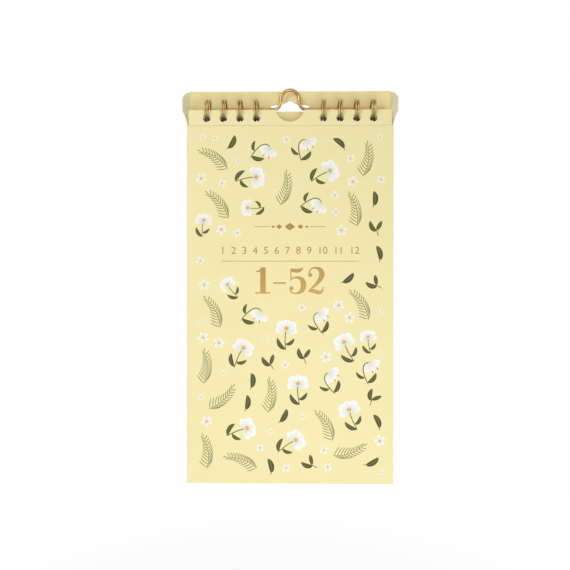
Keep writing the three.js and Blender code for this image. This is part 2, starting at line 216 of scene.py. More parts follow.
def grid_faces(rows: int, columns: int, closed: bool = False) -> np.ndarray:
    """Faces of a grid whose points are numbered row by row.

    Args:
        rows: Number of rows.
        columns: Number of columns.
        closed: Whether each row closes to a ring.

    Returns:
        Corners, (faces, 4).
    """
    corner = np.arange(rows * columns).reshape(rows, columns)
    if closed:
        corner = np.concatenate([corner, corner[:, :1]], 1)
    around = [corner[:-1, :-1], corner[:-1, 1:], corner[1:, 1:], corner[1:, :-1]]
    return np.stack(around, -1).reshape(-1, 4)


def laid_out(grids: list[np.ndarray]) -> tuple[np.ndarray, np.ndarray]:
    """Numbers the points of several grids, one grid after the other.

    Args:
        grids: Grids of points, (rows, columns, 2) each.

    Returns:
        Points, (n, 2), and faces, (m, 4).
    """
    starts = np.cumsum([0, *(grid[..., 0].size for grid in grids)])
    quads = [grid_faces(*grid.shape[:2]) + start for grid, start in zip(grids, starts)]
    return np.concatenate([grid.reshape(-1, 2) for grid in grids]), np.concatenate(quads)


def sewn(grids: list[np.ndarray]) -> tuple[np.ndarray, np.ndarray]:
    """Sews the grids of a front view: points that share a place become one, and a face turns
    over where its area, half the sum of x1 z2 - x2 z1 round it, is below zero.

    Args:
        grids: Grids of points, (rows, columns, 2) each.

    Returns:
        Points, (n, 2), and faces, (m, 4).
    """
    points, quads = laid_out(grids)
    keys = np.round(points / SEWING_GAP).astype(np.int64)
    _, first, inverse = np.unique(keys, axis=0, return_index=True, return_inverse=True)
    points, quads = points[first], inverse.ravel()[quads]
    corner = points[quads]
    after = np.roll(corner, -1, axis=1)
    area = (corner[..., 0] * after[..., 1] - after[..., 0] * corner[..., 1]).sum(1)
    return points, np.where(area[:, None] < 0, quads[:, ::-1], quads)


def closed_card(front: np.ndarray, back: np.ndarray, quads: np.ndarray) -> Shape:
    """Closes two faces of a card with a rim along every free edge.

    Args:
        front: Points of the front face.
        back: Points of the back face, one for each front point.
        quads: Faces of the front.

    Returns:
        The closed shape.
    """
    count = len(front)
    start, end = quads.ravel(), np.roll(quads, -1, axis=1).ravel()
    free = ~np.isin(start * count + end, end * count + start)
    a, b = start[free], end[free]
    rim = np.stack([b, a, a + count, b + count], 1)
    faces = np.concatenate([quads, quads[:, ::-1] + count, rim])
    kinds = np.repeat([kind.value for kind in Face], [len(quads), len(quads), len(rim)])
    return Shape(np.concatenate([front, back]), faces.tolist(), kinds)


def flat_card(flat: np.ndarray, quads: np.ndarray, front: object, back: object) -> Shape:
    """Closed card whose two faces share a front view, each at its own depth."""
    faces = [np.stack(np.broadcast_arrays(flat[:, 0], y, flat[:, 1]), 1) for y in (front, back)]
    return closed_card(*faces, quads)


def tube(path: np.ndarray, normal: np.ndarray, radius: float, sides: int) -> Shape:
    """Round wire along a path: p + r (cos a * u + sin a * v), with u the normal squared up
    to the path and v across both. Each end is drawn in over a last short ring and closed.

    Args:
        path: Points of the middle line, (n, 3).
        normal: A direction beside the path, for all points or for each.
        radius: Radius of the wire.
        sides: Number of sides.

    Returns:
        The closed shape.
    """
    end_length, end_share = 0.25 * radius, 0.75
    along = unit(np.gradient(path, axis=0))
    beside = unit(normal - (normal * along).sum(1, keepdims=True) * along)
    twice = np.clip(np.arange(-1, len(path) + 1), 0, len(path) - 1)
    path, along, beside = path[twice], along[twice], beside[twice]
    path[1] += end_length * along[1]
    path[-2] -= end_length * along[-2]
    size = np.full(len(path), radius)
    size[[0, -1]] *= end_share
    angle = spread(0, FULL_TURN, sides)[:-1, None]
    turn = np.cos(angle) * beside[:, None] + np.sin(angle) * np.cross(along, beside)[:, None]
    points = (path[:, None] + size[:, None, None] * turn).reshape(-1, 3)
    ends = [list(range(sides))[::-1], list(range(len(points) - sides, len(points)))]
    faces = grid_faces(len(path), sides, closed=True).tolist() + ends
    return Shape(points, faces, np.zeros(len(faces)))


def linked(name: str, data: bpy.types.ID) -> bpy.types.Object:
    """Puts data into the scene as a new object.

    Args:
        name: Name of the object.
        data: Its mesh, lamp, camera or letters.

    Returns:
        The object.
    """
    made = bpy.data.objects.new(name, data)
    bpy.context.scene.collection.objects.link(made)
    return made


def make_piece(
    name: str,
    body: str,
    shape: Shape,
    finishes: list[Material],
    node: str | None = None,
    smooth: bool = False,
) -> Piece:
    """Makes a shape into a piece that rides on a body.

    Args:
        name: Name of the piece.
        body: Body that it rides on.
        shape: Its shape, in metres.
        finishes: Its finishes by kind of face. The last one also serves the kinds after it.
        node: Node that it replaces, or None.
        smooth: Whether its faces are shaded as one curved surface.

    Returns:
        The piece.
    """
    mesh = bpy.data.meshes.new(name)
    mesh.from_pydata(shape.points.tolist(), [], shape.faces)
    for finish in finishes:
        mesh.materials.append(finish)
    kinds = np.minimum(shape.kinds, len(finishes) - 1)
    mesh.polygons.foreach_set("material_index", kinds.astype(np.int32))
    mesh.polygons.foreach_set("use_smooth", np.full(len(mesh.polygons), smooth))
    mesh.update()
    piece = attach(linked(name, mesh), body)
    if node:
        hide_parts(node)
    return piece


# Finishes


class Nodes:
    """The nodes of one tree, a material's or the world's."""

    def __init__(self, tree: bpy.types.NodeTree, output: str) -> None:
        """Clears a tree and gives it an output.

        Args:
            tree: The tree.
            output: Type of its output node.
        """
        self.tree = tree
        self.tree.nodes.clear()
        self.output = self.tree.nodes.new(output).inputs[0]

    def give(self, target: Socket, value: object) -> None:
        """Links an input to a socket, or sets it to a value.

        Args:
            target: The input.
            value: Socket, number, vector or colour.
        """
        if isinstance(value, Socket):
            self.tree.links.new(value, target)
        else:
            target.default_value = (*value, 1) if target.type == "RGBA" else value

    def add(self, kind: str, inputs: dict, output: int | str = 0, **settings: object) -> Socket:
        """Adds a node.

        Args:
            kind: Its type, without the leading ShaderNode.
            inputs: Value or socket for each input, by name or number.
            output: Name or number of the wanted output.
            settings: Its other settings.

        Returns:
            The output.
        """
        node = self.tree.nodes.new(f"ShaderNode{kind}")
        for name, value in settings.items():
            setattr(node, name, value)
        for name, value in inputs.items():
            self.give(node.inputs[name], value)
        return node.outputs[output]

    def math(self, operation: str, first: object, *others: object) -> Socket:
        """Does a sum on the first value and each of the others in turn.

        Args:
            operation: Operation of the Math nodes.
            first: Number or socket.
            others: Numbers or sockets, none for an operation on one value.

        Returns:
            The result.
        """
        for other in others or (0.0,):
            first = self.add("Math", {0: first, 1: other}, operation=operation)
        return first

    def seen(self) -> Socket:
        """1 for rays of the camera, gloss and glass, and 0 for rays that light the object."""
        rays = [self.add("LightPath", {}, f"Is {name} Ray") for name in ("Camera", "Glossy", "Transmission")]
        return self.math("MAXIMUM", *rays)


class Surface(Nodes):
    """The nodes of one material, with its shader at hand."""

    def __init__(self, name: str) -> None:
        """Starts a material.

        Args:
            name: Name of the material.
        """
        self.material = bpy.data.materials.new(name)
        self.material.use_nodes = True
        super().__init__(self.material.node_tree, "ShaderNodeOutputMaterial")
        self.shader = self.tree.nodes.new("ShaderNodeBsdfPrincipled")
        self.give(self.output, self.shader.outputs[0])
        self.place = self.add("TexCoord", {}, "Object")

    def dressed(self, inputs: dict) -> Material:
        """Gives the shader its inputs.

        Args:
            inputs: Value or socket for each input, by name.

        Returns:
            The material.
        """
        for name, value in inputs.items():
            self.give(self.shader.inputs[name], value)
        return self.material

    def axis(self, name: str) -> Socket:
        """One of the place's coordinates, X, Y or Z."""
        return self.add("SeparateXYZ", {0: self.place}, name)

    def noise(self, size: float, stretch: Triple = (1, 1, 1), detail: float = 3) -> Socket:
        """Noise near 0.5 in patches of a size in metres, with a factor on each coordinate."""
        place = self.add("Mapping", {"Vector": self.place, "Scale": tuple(s / size for s in stretch)})
        return self.add("TexNoise", {"Vector": place, "Scale": 1, "Detail": detail})

    def mix(self, share: object, first: object, second: object) -> Socket:
        """Mix of two colours by the share of the second."""
        return self.add("Mix", {0: share, 6: first, 7: second}, 2, data_type="RGBA")

    def spread_to(
        self, value: Socket, low: float, high: float, start: float = 0.3, end: float = 0.7
    ) -> Socket:
        """Maps a value from start...end to low...high."""
        return self.add("MapRange", {0: value, 1: start, 2: end, 3: low, 4: high})

    def bump(self, height: Socket, depth: float, strength: float = 0.4) -> None:
        """Gives the surface a relief of a depth in metres, from heights of 0 to 1."""
        relief = self.add("Bump", {"Strength": strength, "Distance": depth, "Height": height})
        self.give(self.shader.inputs["Normal"], relief)

    def away(self, value: Socket, place: float) -> Socket:
        """Distance of a value from a place: |value - place|."""
        return self.math("ABSOLUTE", self.math("SUBTRACT", value, place))

    def near_lines(self, place: Socket, origin: float, pitch: float, width: float) -> Socket:
        """1 on evenly spaced lines and 0 beside them: the distance to the next line, which is
        |fraction((place - origin) / pitch + 1/2) - 1/2| * pitch, is under half the width.

        Args:
            place: A coordinate.
            origin: Place of one line.
            pitch: Distance between lines.
            width: Width of a line.

        Returns:
            The mask.
        """
        steps = self.math("DIVIDE", self.math("SUBTRACT", place, origin), pitch)
        part = self.math("FRACT", self.math("ADD", steps, 0.5))
        return self.math("LESS_THAN", self.away(part, 0.5), width / pitch / 2)


@dataclass(frozen=True)
class CardFinish:
    """Coated card: an even colour with a fine fibre grain and faint clouding."""

    name: str
    colour: Colour
    shade: Colour
    roughness: float = 0.55
    unevenness: float = 0.05
    gloss: float = 0.35
    grain: float = 0.25 * MM
    relief: float = 0.008 * MM
    clouds: float = 22 * MM
    fibre_share: float = 0.35
    cloud_share: float = 0.3

    def material(self) -> Material:
        """Builds the material: colour + share * (shade - colour), the share from two noises.

        Returns:
            The material.
        """
        nodes = Surface(self.name)
        fibre = nodes.noise(self.grain, (1, 1, 0.4), 4)
        cloud = nodes.spread_to(nodes.noise(self.clouds), 0, self.cloud_share)
        share = nodes.math("ADD", nodes.spread_to(fibre, 0, self.fibre_share), cloud)
        low, high = self.roughness - self.unevenness, self.roughness + self.unevenness
        nodes.bump(fibre, self.relief)
        return nodes.dressed(
            {
                "Base Color": nodes.mix(share, self.colour, self.shade),
                "Roughness": nodes.spread_to(fibre, low, high),
                "Specular IOR Level": self.gloss,
            }
        )


@dataclass(frozen=True)
class CoreFinish:
    """Cut edge of card or paper: pale fibres in thin layers along the sheet."""

    name: str
    colour: Colour
    shade: Colour
    layer: float = 0.9 * MM
    relief: float = 0.03 * MM
    roughness: float = 0.85

    def material(self) -> Material:
        """Builds the material: colour + noise * (shade - colour), the noise drawn out flat.

        Returns:
            The material.
        """
        nodes = Surface(self.name)
        layers = nodes.noise(self.layer, (1, 12, 1), 4)
        nodes.bump(layers, self.relief)
        tone = nodes.mix(nodes.spread_to(layers, 0, 1), self.colour, self.shade)
        return nodes.dressed({"Base Color": tone, "Roughness": self.roughness})


@dataclass(frozen=True)
class LeafFinish:
    """Writing paper with a week ruled on it: seven rows, a margin line and faint dots."""

    name: str
    top: float
    header: float = 24 * MM
    row: float = 22.5 * MM
    margin: float = -38 * MM
    rule: float = 0.22 * MM
    dot_row: float = 0.25 * MM
    dot: float = 0.3 * MM
    dot_pitch: float = 1.5 * MM
    ink_share: float = 0.75
    upright: float = 0.24 * MM
    rows_over: float = 1 * MM
    fibre: float = 0.3 * MM
    layer: float = 0.12 * MM
    relief: float = 0.01 * MM
    roughness: float = 0.8
    colour: Colour = (0.90, 0.87, 0.77)
    shade: Colour = (0.84, 0.80, 0.68)
    line: Colour = (0.42, 0.40, 0.24)

    def material(self) -> Material:
        """Builds the material: ink where a row, the margin or a dot is, and paper elsewhere.

        Returns:
            The material.
        """
        nodes = Surface(self.name)
        fibre = nodes.noise(self.fibre, (1, 6, 1), 4)
        layer = nodes.noise(self.layer, (0.01, 1, 0.01), 0)
        tone = nodes.spread_to(nodes.math("ADD", fibre, layer), 0, 1, 0.7, 1.3)
        across, upwards = nodes.axis("X"), nodes.axis("Z")
        first = self.top - self.header
        rows = nodes.near_lines(upwards, first, self.row, self.rule)
        upright = nodes.math("LESS_THAN", nodes.away(across, self.margin), self.upright / 2)
        dots = nodes.math(
            "MULTIPLY",
            nodes.near_lines(upwards, first, self.row / 4, self.dot_row),
            nodes.near_lines(across, self.margin, self.dot_pitch, self.dot),
            nodes.math("GREATER_THAN", across, self.margin),
            0.5,
        )
        below = nodes.math("LESS_THAN", upwards, first + self.rows_over)
        share = nodes.math("MULTIPLY", nodes.math("MAXIMUM", rows, upright, dots), below, self.ink_share)
        nodes.bump(fibre, self.relief)
        paper = nodes.mix(tone, self.colour, self.shade)
        return nodes.dressed({"Base Color": nodes.mix(share, paper, self.line), "Roughness": self.roughness})


@dataclass(frozen=True)
class WireFinish:
    """Gold-coloured wire: metal with faint drawing marks and a slight unevenness."""

    name: str = "gold_wire"
    colour: Colour = (0.52, 0.34, 0.125)
    shade: Colour = (0.34, 0.215, 0.07)
    roughness: float = 0.24
    roughest: float = 0.38
    mark: float = 0.25 * MM
    patch: float = 3 * MM
    relief: float = 0.004 * MM

    def material(self) -> Material:
        """Builds the material: colour + noise * (shade - colour) on bare metal.

        Returns:
            The material.
        """
        nodes = Surface(self.name)
        marks = nodes.noise(self.mark, (0.3, 1, 1), 3)
        tone = nodes.spread_to(nodes.noise(self.patch, detail=2), 0, 1)
        nodes.bump(marks, self.relief, 0.3)
        return nodes.dressed(
            {
                "Base Color": nodes.mix(tone, self.colour, self.shade),
                "Roughness": nodes.spread_to(marks, self.roughness, self.roughest),
                "Metallic": 1,
            }
        )


@dataclass(frozen=True)
class InkFinish:
    """Printing ink on card: the colour at the stroke's root, its tip and its middle vein,
    read from the attribute 'stroke', whose X runs across and whose Y runs along."""

    name: str
    root: Colour
    tip: Colour
    vein: Colour
    vein_share: float = 0.5
    metallic: float = 0.0
    roughness: float = 0.55
    tip_reach: tuple[float, float] = (0.05, 0.75)
    vein_reach: tuple[float, float] = (0.02, 0.14)
    clouds: float = 0.8 * MM
    cloud_share: float = 0.12
    grain: float = 0.25 * MM
    relief: float = 0.006 * MM

    def material(self) -> Material:
        """Builds the material: root to tip along the stroke, then towards the vein near its
        middle line, |across - 1/2|, and in faint clouds.

        Returns:
            The material.
        """
        nodes = Surface(self.name)
        stroke = nodes.add("Attribute", {}, "Vector", attribute_name="stroke")
        across, along = (nodes.add("SeparateXYZ", {0: stroke}, name) for name in ("X", "Y"))
        colour = nodes.mix(nodes.spread_to(along, 0, 1, *self.tip_reach), self.root, self.tip)
        near = nodes.spread_to(nodes.away(across, 0.5), self.vein_share, 0, *self.vein_reach)
        cloud = nodes.spread_to(nodes.noise(self.clouds), 0, self.cloud_share)
        nodes.bump(nodes.noise(self.grain), self.relief)
        return nodes.dressed(
            {
                "Base Color": nodes.mix(cloud, nodes.mix(near, colour, self.vein), self.vein),
                "Metallic": self.metallic,
                "Roughness": self.roughness,
            }
        )


COVER_YELLOW = CardFinish("cover_yellow", (0.915, 0.825, 0.445), (0.87, 0.775, 0.39))
BACK_YELLOW = CardFinish("back_yellow", (0.86, 0.76, 0.40), (0.80, 0.70, 0.35))
HEM_YELLOW = CardFinish("hem_yellow", (0.91, 0.78, 0.385), (0.85, 0.72, 0.34))
# Unprinted card: its colour and shade are darkened and tinted yellow as painted shade and painted light
# bounced off the yellow print, not the white card's own tone.
UNPRINTED_PAINTED_SHADE = CardFinish("unprinted_card_painted_shade", (0.74, 0.69, 0.43), (0.66, 0.61, 0.36), 0.7)
CARD_CORE = CoreFinish("card_core", (0.86, 0.83, 0.74), (0.70, 0.66, 0.54))
PAPER_CORE = CoreFinish("paper_core", (0.88, 0.86, 0.78), (0.66, 0.63, 0.52))
TWIG_INK = InkFinish("ink_twig", (0.20, 0.215, 0.07), (0.24, 0.255, 0.09), (0.17, 0.18, 0.06))
STEM_INK = InkFinish("ink_stem", (0.06, 0.07, 0.02), (0.10, 0.11, 0.035), (0.08, 0.09, 0.03))
LEAF_INK = InkFinish("ink_leaf", (0.035, 0.04, 0.006), (0.065, 0.075, 0.014), (0.19, 0.2, 0.06), 0.8, 0, 0.7)
PETAL_INK = InkFinish("ink_petal", (0.72, 0.76, 0.66), (0.95, 0.96, 0.93), (0.70, 0.74, 0.66), 0.35)
STAMEN_INK = InkFinish("ink_stamen", (0.62, 0.30, 0.04), (0.85, 0.53, 0.12), (0.75, 0.42, 0.08))
FOIL_TONES = ((0.34, 0.205, 0.06), (0.37, 0.225, 0.07), (0.355, 0.215, 0.065))
FOIL = InkFinish("gold_foil", *FOIL_TONES, vein_share=0.1, metallic=0.85, roughness=0.36)


# Shared sizes


def joint_place(name: str) -> np.ndarray:
    """Place of one of the frame's joints, in metres."""
    return np.array(next(joint["pos_m"] for joint in frame["joints"] if joint["name"] == name), float)


@dataclass
class Binding:
    """Places that the bound pieces share, in metres, read from the frame."""

    pitch: float = 25.4 / 3 * MM
    loops: int = 4
    first: float = 2.0
    radius: float = 5.05 * MM
    hole_radius: float = 2.0 * MM
    hole_drop: float = 4.1 * MM
    strand: float = 0.68 * MM
    notch_half: float = 7.4 * MM
    notch_depth: float = 6.0 * MM
    crease_gap: float = 0.05 * MM

    def __post_init__(self) -> None:
        """Reads the loops' axis, the strip's two edges and the crease from the frame."""
        low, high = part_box(STRIP)
        self.axis = joint_place("cover_turn")
        self.strip_top, self.strip_bottom = high.z, low.z
        self.crease = low.z - self.crease_gap

    def places(self, side: Side) -> np.ndarray:
        """Places of one wire's loops across the planner, from left to right."""
        steps = (self.first + np.arange(self.loops)) * self.pitch
        return -steps[::-1] if side is Side.LEFT else steps

    def holes(self) -> np.ndarray:
        """Places of all the holes across the planner, from left to right."""
        return np.concatenate([self.places(side) for side in Side])


# Cards and leaves


@dataclass
class PunchedSheet:
    """One bound sheet: holes along its top edge and, in most, a thumb notch."""

    binding: Binding
    width: float
    bottom: float
    top: float
    hole_height: float
    hole_radius: float
    notched: bool = True
    cell: float = 3.2 * MM
    hole_steps: int = 8
    notch_steps: int = 12
    plain_steps: int = 2
    notch_margin: float = 1.6 * MM
    crease_reach: float = 0.9 * MM
    crease_rows: tuple = (0, 0.12, 0.25, 0.45)

    def lower_rows(self) -> np.ndarray:
        """Heights of the rows below the holes, close together next to the bottom edge.

        Returns:
            Heights, upwards.
        """
        reach = self.hole_height - self.cell - self.bottom
        near = self.bottom + np.array(self.crease_rows) * min(reach, self.crease_reach)
        return np.concatenate([near[:-1], spread(near[-1], self.bottom + reach, self.plain_steps)])

    def notch_cell(self, low: float, upper: np.ndarray) -> np.ndarray:
        """Cell round the notch: its arc led out to the cell's two sides and bottom. The arc's
        radius is (half^2 + depth^2) / (2 * depth), from its half width and its depth.

        Args:
            low: Height of the cell's bottom.
            upper: Heights of the rows along its sides, upwards.

        Returns:
            Points from the notch outwards.
        """
        half, depth = self.binding.notch_half, self.binding.notch_depth
        radius = (half**2 + depth**2) / (2 * depth)
        lift = radius - depth
        edge = half + self.notch_margin
        bottom = pairs(spread(-edge, edge, self.notch_steps), low)
        outer = np.concatenate([pairs(-edge, upper[:0:-1]), bottom, pairs(edge, upper[1:])])
        turn = np.arctan2(outer[:, 1] - self.top - lift, outer[:, 0]) % FULL_TURN
        dip = math.asin(lift / radius)
        share = (turn - turn[0]) / (turn[-1] - turn[0])
        inner = arc((0, self.top + lift), radius, math.pi + dip + share * (math.pi - 2 * dip))
        inner[[0, -1]] = [[-half, self.top], [half, self.top]]
        return ruled(inner, outer, np.array([0, 0.5, 1.0]))

    def grids(self) -> list[np.ndarray]:
        """Front view: plain stretches, a cell round each hole and one round the notch.

        Returns:
            Its grids.
        """
        low, high = self.hole_height - self.cell, self.hole_height + self.cell
        lower, upper = self.lower_rows(), spread(high, self.top, self.plain_steps)
        middle = spread(low, high, self.hole_steps)
        grids, edges = [], [-self.width / 2, self.width / 2]
        for x in self.binding.holes():
            edges += [x - self.cell, x + self.cell]
            across = spread(x - self.cell, x + self.cell, self.hole_steps)
            grids += [plain_grid(across, rows) for rows in (lower, upper)]
            grids.append(ring_cell(x, self.hole_height, self.hole_radius, self.cell, self.hole_steps))
        if self.notched:
            edge = self.binding.notch_half + self.notch_margin
            edges += [-edge, edge]
            grids.append(plain_grid(spread(-edge, edge, self.notch_steps), lower))
            grids.append(self.notch_cell(low, np.concatenate([middle, upper[1:]])))
        for start, end in np.sort(edges).reshape(-1, 2):
            across = spread(start, end, self.plain_steps)
            grids += [plain_grid(across, rows) for rows in (lower, middle, upper)]
        return grids


@dataclass
class FlatCard:
    """A flat part of the cover or back, with a shallow scored dent along its crease edge."""

    node: str
    body: str
    slot: str
    crease: float
    dent: float = 0.14 * MM
    dent_width: float = 0.32 * MM

    def build(self, grids: list[np.ndarray], finishes: list[Material]) -> Piece:
        """Builds the piece in place of its node. Its front retreats near the crease by
        dent * exp(-(distance / width)^2).

        Args:
            grids: Front view.
            finishes: Finishes of front, back and rim.

        Returns:
            The piece.
        """
        low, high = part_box(self.node)
        flat, quads = sewn(grids)
        away = (flat[:, 1] - self.crease) / self.dent_width
        shape = flat_card(flat, quads, low.y + self.dent * np.exp(-(away**2)), high.y)
        return make_piece(f"{self.node}_card", self.body, shape, finishes, self.node)


@dataclass
class Covers:
    """The front cover's strip and panel and the back cover's panel."""

    binding: Binding
    rows: int = 12
    columns: int = 8
    crease_rows: tuple = (0, 0.1, 0.2, 0.35, 0.55, 0.9)

    def panel(self, node: str) -> list[np.ndarray]:
        """Front view of a panel, with close rows next to the crease.

        Args:
            node: Node that gives its edges.

        Returns:
            Its one grid.
        """
        low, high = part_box(node)
        near = high.z - np.array(self.crease_rows) * MM
        rows = np.concatenate([spread(low.z, near[-1], self.rows)[:-1], near[::-1]])
        return [plain_grid(spread(low.x, high.x, self.columns), rows)]

    def build(self) -> list[Piece]:
        """Builds the three pieces.

        Returns:
            The pieces.
        """
        yellow, back = COVER_YELLOW.material(), BACK_YELLOW.material()
        # The strip's and panels' unprinted faces take the unprinted card with painted shade and painted
        # yellow bounce light.
        plain, core = UNPRINTED_PAINTED_SHADE.material(), CARD_CORE.material()
        low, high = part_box(STRIP)
        size = self.binding
        strip = PunchedSheet(size, high.x - low.x, low.z, high.z, high.z - size.hole_drop, size.hole_radius)
        rows = (
            (STRIP, "front_strip", "front_cover", strip.grids(), [yellow, plain, core]),
            (PANEL, "front_panel", "front_cover", self.panel(PANEL), [yellow, plain, core]),
            (BACK_PANEL, "back_panel", "back_card", self.panel(BACK_PANEL), [plain, back, core]),
        )
        return [FlatCard(*names, size.crease).build(grids, finishes) for *names, grids, finishes in rows]


@dataclass
class Leaves:
    """The twelve months' weekly leaves, four or five thin sheets each."""

    binding: Binding
    paper: float = 0.075 * MM
    trim: float = 0.07 * MM
    five_week_months: tuple = (1, 4, 7, 10, 12)
    hole_steps: int = 5
    seed: int = 52

    def month(self, number: int, finishes: list[Material], rng: np.random.Generator) -> Piece:
        """Builds one month's sheets, spaced evenly through the month's box.

        Args:
            number: Month, from 1.
            finishes: Finishes of front, back and rim.
            rng: Source of the small differences in trim.

        Returns:
            The piece.
        """
        month = f"month_{number:02d}"
        low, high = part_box(f"{month}_leaves")
        hole = high.z - self.binding.hole_drop
        gaps = 4 if number in self.five_week_months else 3
        parts, count = [], 0
        for front in spread(low.y, high.y - self.paper, gaps):
            side, bottom = rng.uniform(0, self.trim, 2)
            size = (high.x - low.x - 2 * side, low.z + bottom, high.z, hole, self.binding.hole_radius)
            flat, quads = sewn(PunchedSheet(self.binding, *size, hole_steps=self.hole_steps).grids())
            parts.append((flat, quads + count, np.full(len(flat), front)))
            count += len(flat)
        flat, quads, fronts = (np.concatenate(part) for part in zip(*parts))
        shape = flat_card(flat, quads, fronts, fronts + self.paper)
        return make_piece(f"{month}_paper", month, shape, finishes, f"{month}_leaves")

    def build(self) -> list[Piece]:
        """Builds the twelve months.

        Returns:
            The pieces.
        """
        paper = LeafFinish("leaf_paper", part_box("month_01_leaves")[1].z).material()
        finishes = [paper, paper, PAPER_CORE.material()]
        rng = np.random.default_rng(self.seed)
        return [self.month(number, finishes, rng) for number in range(1, 13)]


# Back card's upper part


@dataclass
class BackCardTop:
    """The binding flap, the hood and the hem, all of one folded card."""

    binding: Binding
    card: float = 0.45 * MM
    hem_gap: float = 0.05 * MM
    hood_top: float = 12.5 * MM
    hood_air: float = 0.35 * MM
    bow: float = 1.0 * MM
    top_lean: float = 0.3 * MM
    root_ease: float = 0.15
    loop_reach: float = 5.55 * MM
    root_half: float = 53.5 * MM
    hem_half: float = 52.4 * MM
    ear_low: float = 2.0 * MM
    ear_high: float = 7.0 * MM
    hem_low: float = 1.6 * MM
    window_half: float = 48.9 * MM
    window_rise: float = 1.55 * MM
    slot_half: float = 10 * MM
    slot_rise: float = 5.7 * MM
    slot_corner: float = 1.6 * MM
    hump_half: float = 4.75 * MM
    hump_rise: float = 2.0 * MM
    flap_hole: float = 1.34 * MM
    flap_hole_rise: float = 0.32 * MM
    flap_reach: float = 5.1 * MM
    curl: float = 2.5 * MM
    curl_start: float = 46 * MM
    curl_foot: float = 2 * MM
    line_steps: int = 400
    edge_steps: int = 60
    corner_steps: int = 5
    hump_steps: int = 24
    strap_steps: int = 10
    side_steps: int = 3
    top_steps: int = 14
    hem_steps: int = 8
    ear_steps: int = 6
    band_steps: int = 12

    def __post_init__(self) -> None:
        """Works out the hood's middle line, a cubic curve in side view, as a fine table."""
        root, strip_top = self.binding.strip_bottom, self.binding.strip_top
        self.ear_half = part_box("hood")[1].x
        self.line_top = strip_top + self.hood_top - self.card
        self.slot_top = strip_top + self.slot_rise
        self.slot_side = self.slot_top - self.slot_corner
        self.fold_radius = (self.card + self.hem_gap) / 2
        low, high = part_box("binding_flap")
        self.flap_middle = (low.y + high.y) / 2
        height = self.line_top - root
        belly = self.binding.axis[1] + self.loop_reach + self.hood_air + self.hem_gap + 1.5 * self.card
        knots = [
            (self.flap_middle, root),
            (belly, root + self.root_ease * height),
            (belly + self.bow, root + height / 2),
            (belly - self.top_lean, self.line_top),
        ]
        self.line = bezier(knots, spread(0, 1, self.line_steps))
        self.upward = unit(np.gradient(self.line, axis=0))
        self.forward = pairs(-self.upward[:, 1], self.upward[:, 0])

    def beside(self, height: np.ndarray, away: float) -> np.ndarray:
        """Points beside the hood's middle line, as (y, z), and never below the crease.

        Args:
            height: Heights along the line.
            away: Distance forwards across the card.

        Returns:
            Points, (n, 2).
        """
        table = (self.line[:, 0], *self.forward.T)
        y, dy, dz = (np.interp(height, self.line[:, 1], values) for values in table)
        return pairs(y + away * dy, np.maximum(height + away * dz, self.binding.crease))

    def curled(self, x: np.ndarray, yz: np.ndarray) -> np.ndarray:
        """Points of the hood or hem with the ends curled forwards by curl * share^2, share
        being the part of the way from the curl's start to the ear's edge. The curl fades out
        towards the crease and by half towards the fold.

        Args:
            x: Places across.
            yz: Points in side view.

        Returns:
            Points, (n, 3).
        """
        share = np.maximum(abs(x) - self.curl_start, 0) / (self.ear_half - self.curl_start)
        top = self.binding.strip_top
        stops = [self.binding.crease, top - self.curl_foot, top + self.ear_high, self.line_top]
        fade = eased(yz[:, 1], stops, [0, 1, 1, 0.5])
        return np.column_stack([x, yz[:, 0] - self.curl * share**2 * fade, yz[:, 1]])

    def slot_grid(self, shares: np.ndarray) -> np.ndarray:
        """Grid from the cut-out's edge up to the fold. The edge is a quarter round, a level
        stretch, a hump (half a wave, rise * (1 + cos) / 2) and the same on the right.

        Args:
            shares: Share of the way up for each row.

        Returns:
            Points, (rows, columns, 2).
        """
        centre = (self.slot_corner - self.slot_half, self.slot_side)
        left = arc(centre, self.slot_corner, spread(math.pi, QUARTER_TURN, self.corner_steps))
        x = spread(-self.hump_half, self.hump_half, self.hump_steps)
        hump = pairs(x, self.slot_top + self.hump_rise * (1 + np.cos(math.pi * x / self.hump_half)) / 2)
        edge = np.concatenate([left, hump, left[::-1] * BOTH_SIDES])
        above = spread(-self.slot_half, self.slot_half, len(edge) - 1)
        return ruled(edge, pairs(above, self.line_top), shares)

    def ear_edge(self, height: np.ndarray) -> np.ndarray:
        """Half the hood's width at each height: a flare up from the crease (a cubic curve), a
        straight ear and a corner (a quadratic curve) that curves in to the hem's end.

        Args:
            height: Heights, upwards.

        Returns:
            Half widths.
        """
        root, low = self.binding.strip_bottom, self.binding.strip_top + self.ear_low
        wide, high = self.ear_half, self.binding.strip_top + self.ear_high
        flare = [(self.root_half, root), (self.root_half, (root + low) / 2), (wide, low), (wide, low)]
        corner = [(wide, high), (wide, self.line_top), (self.hem_half, self.line_top)]
        t = spread(0, 1, self.edge_steps)
        half, up = np.concatenate([bezier(knots, t) for knots in (flare, corner)]).T
        return np.interp(height, up, half)

    def hood_grids(self) -> list[np.ndarray]:
        """Front view of the hood: two straps, two ears, the band and the part over the slot.

        Returns:
            Its grids.
        """
        window = self.binding.strip_top + self.window_rise
        strap = spread(self.binding.strip_bottom, window, self.strap_steps)
        side = spread(window, self.slot_side, self.side_steps)
        share = np.sin(spread(0, QUARTER_TURN, self.top_steps))
        upper = self.slot_side + (self.line_top - self.slot_side) * share
        out = spread(0, 1, self.ear_steps)[:, None]
        grids = [self.slot_grid(share)]
        for sign in BOTH_SIDES:
            for rows in (strap, side, upper):
                ear = self.ear_edge(rows) - self.window_half
                grids.append(pairs(sign * (self.window_half + out * ear), rows))
            band = sign * spread(self.slot_half, self.window_half, self.band_steps)
            grids += [plain_grid(band, rows) for rows in (side, upper)]
        return grids

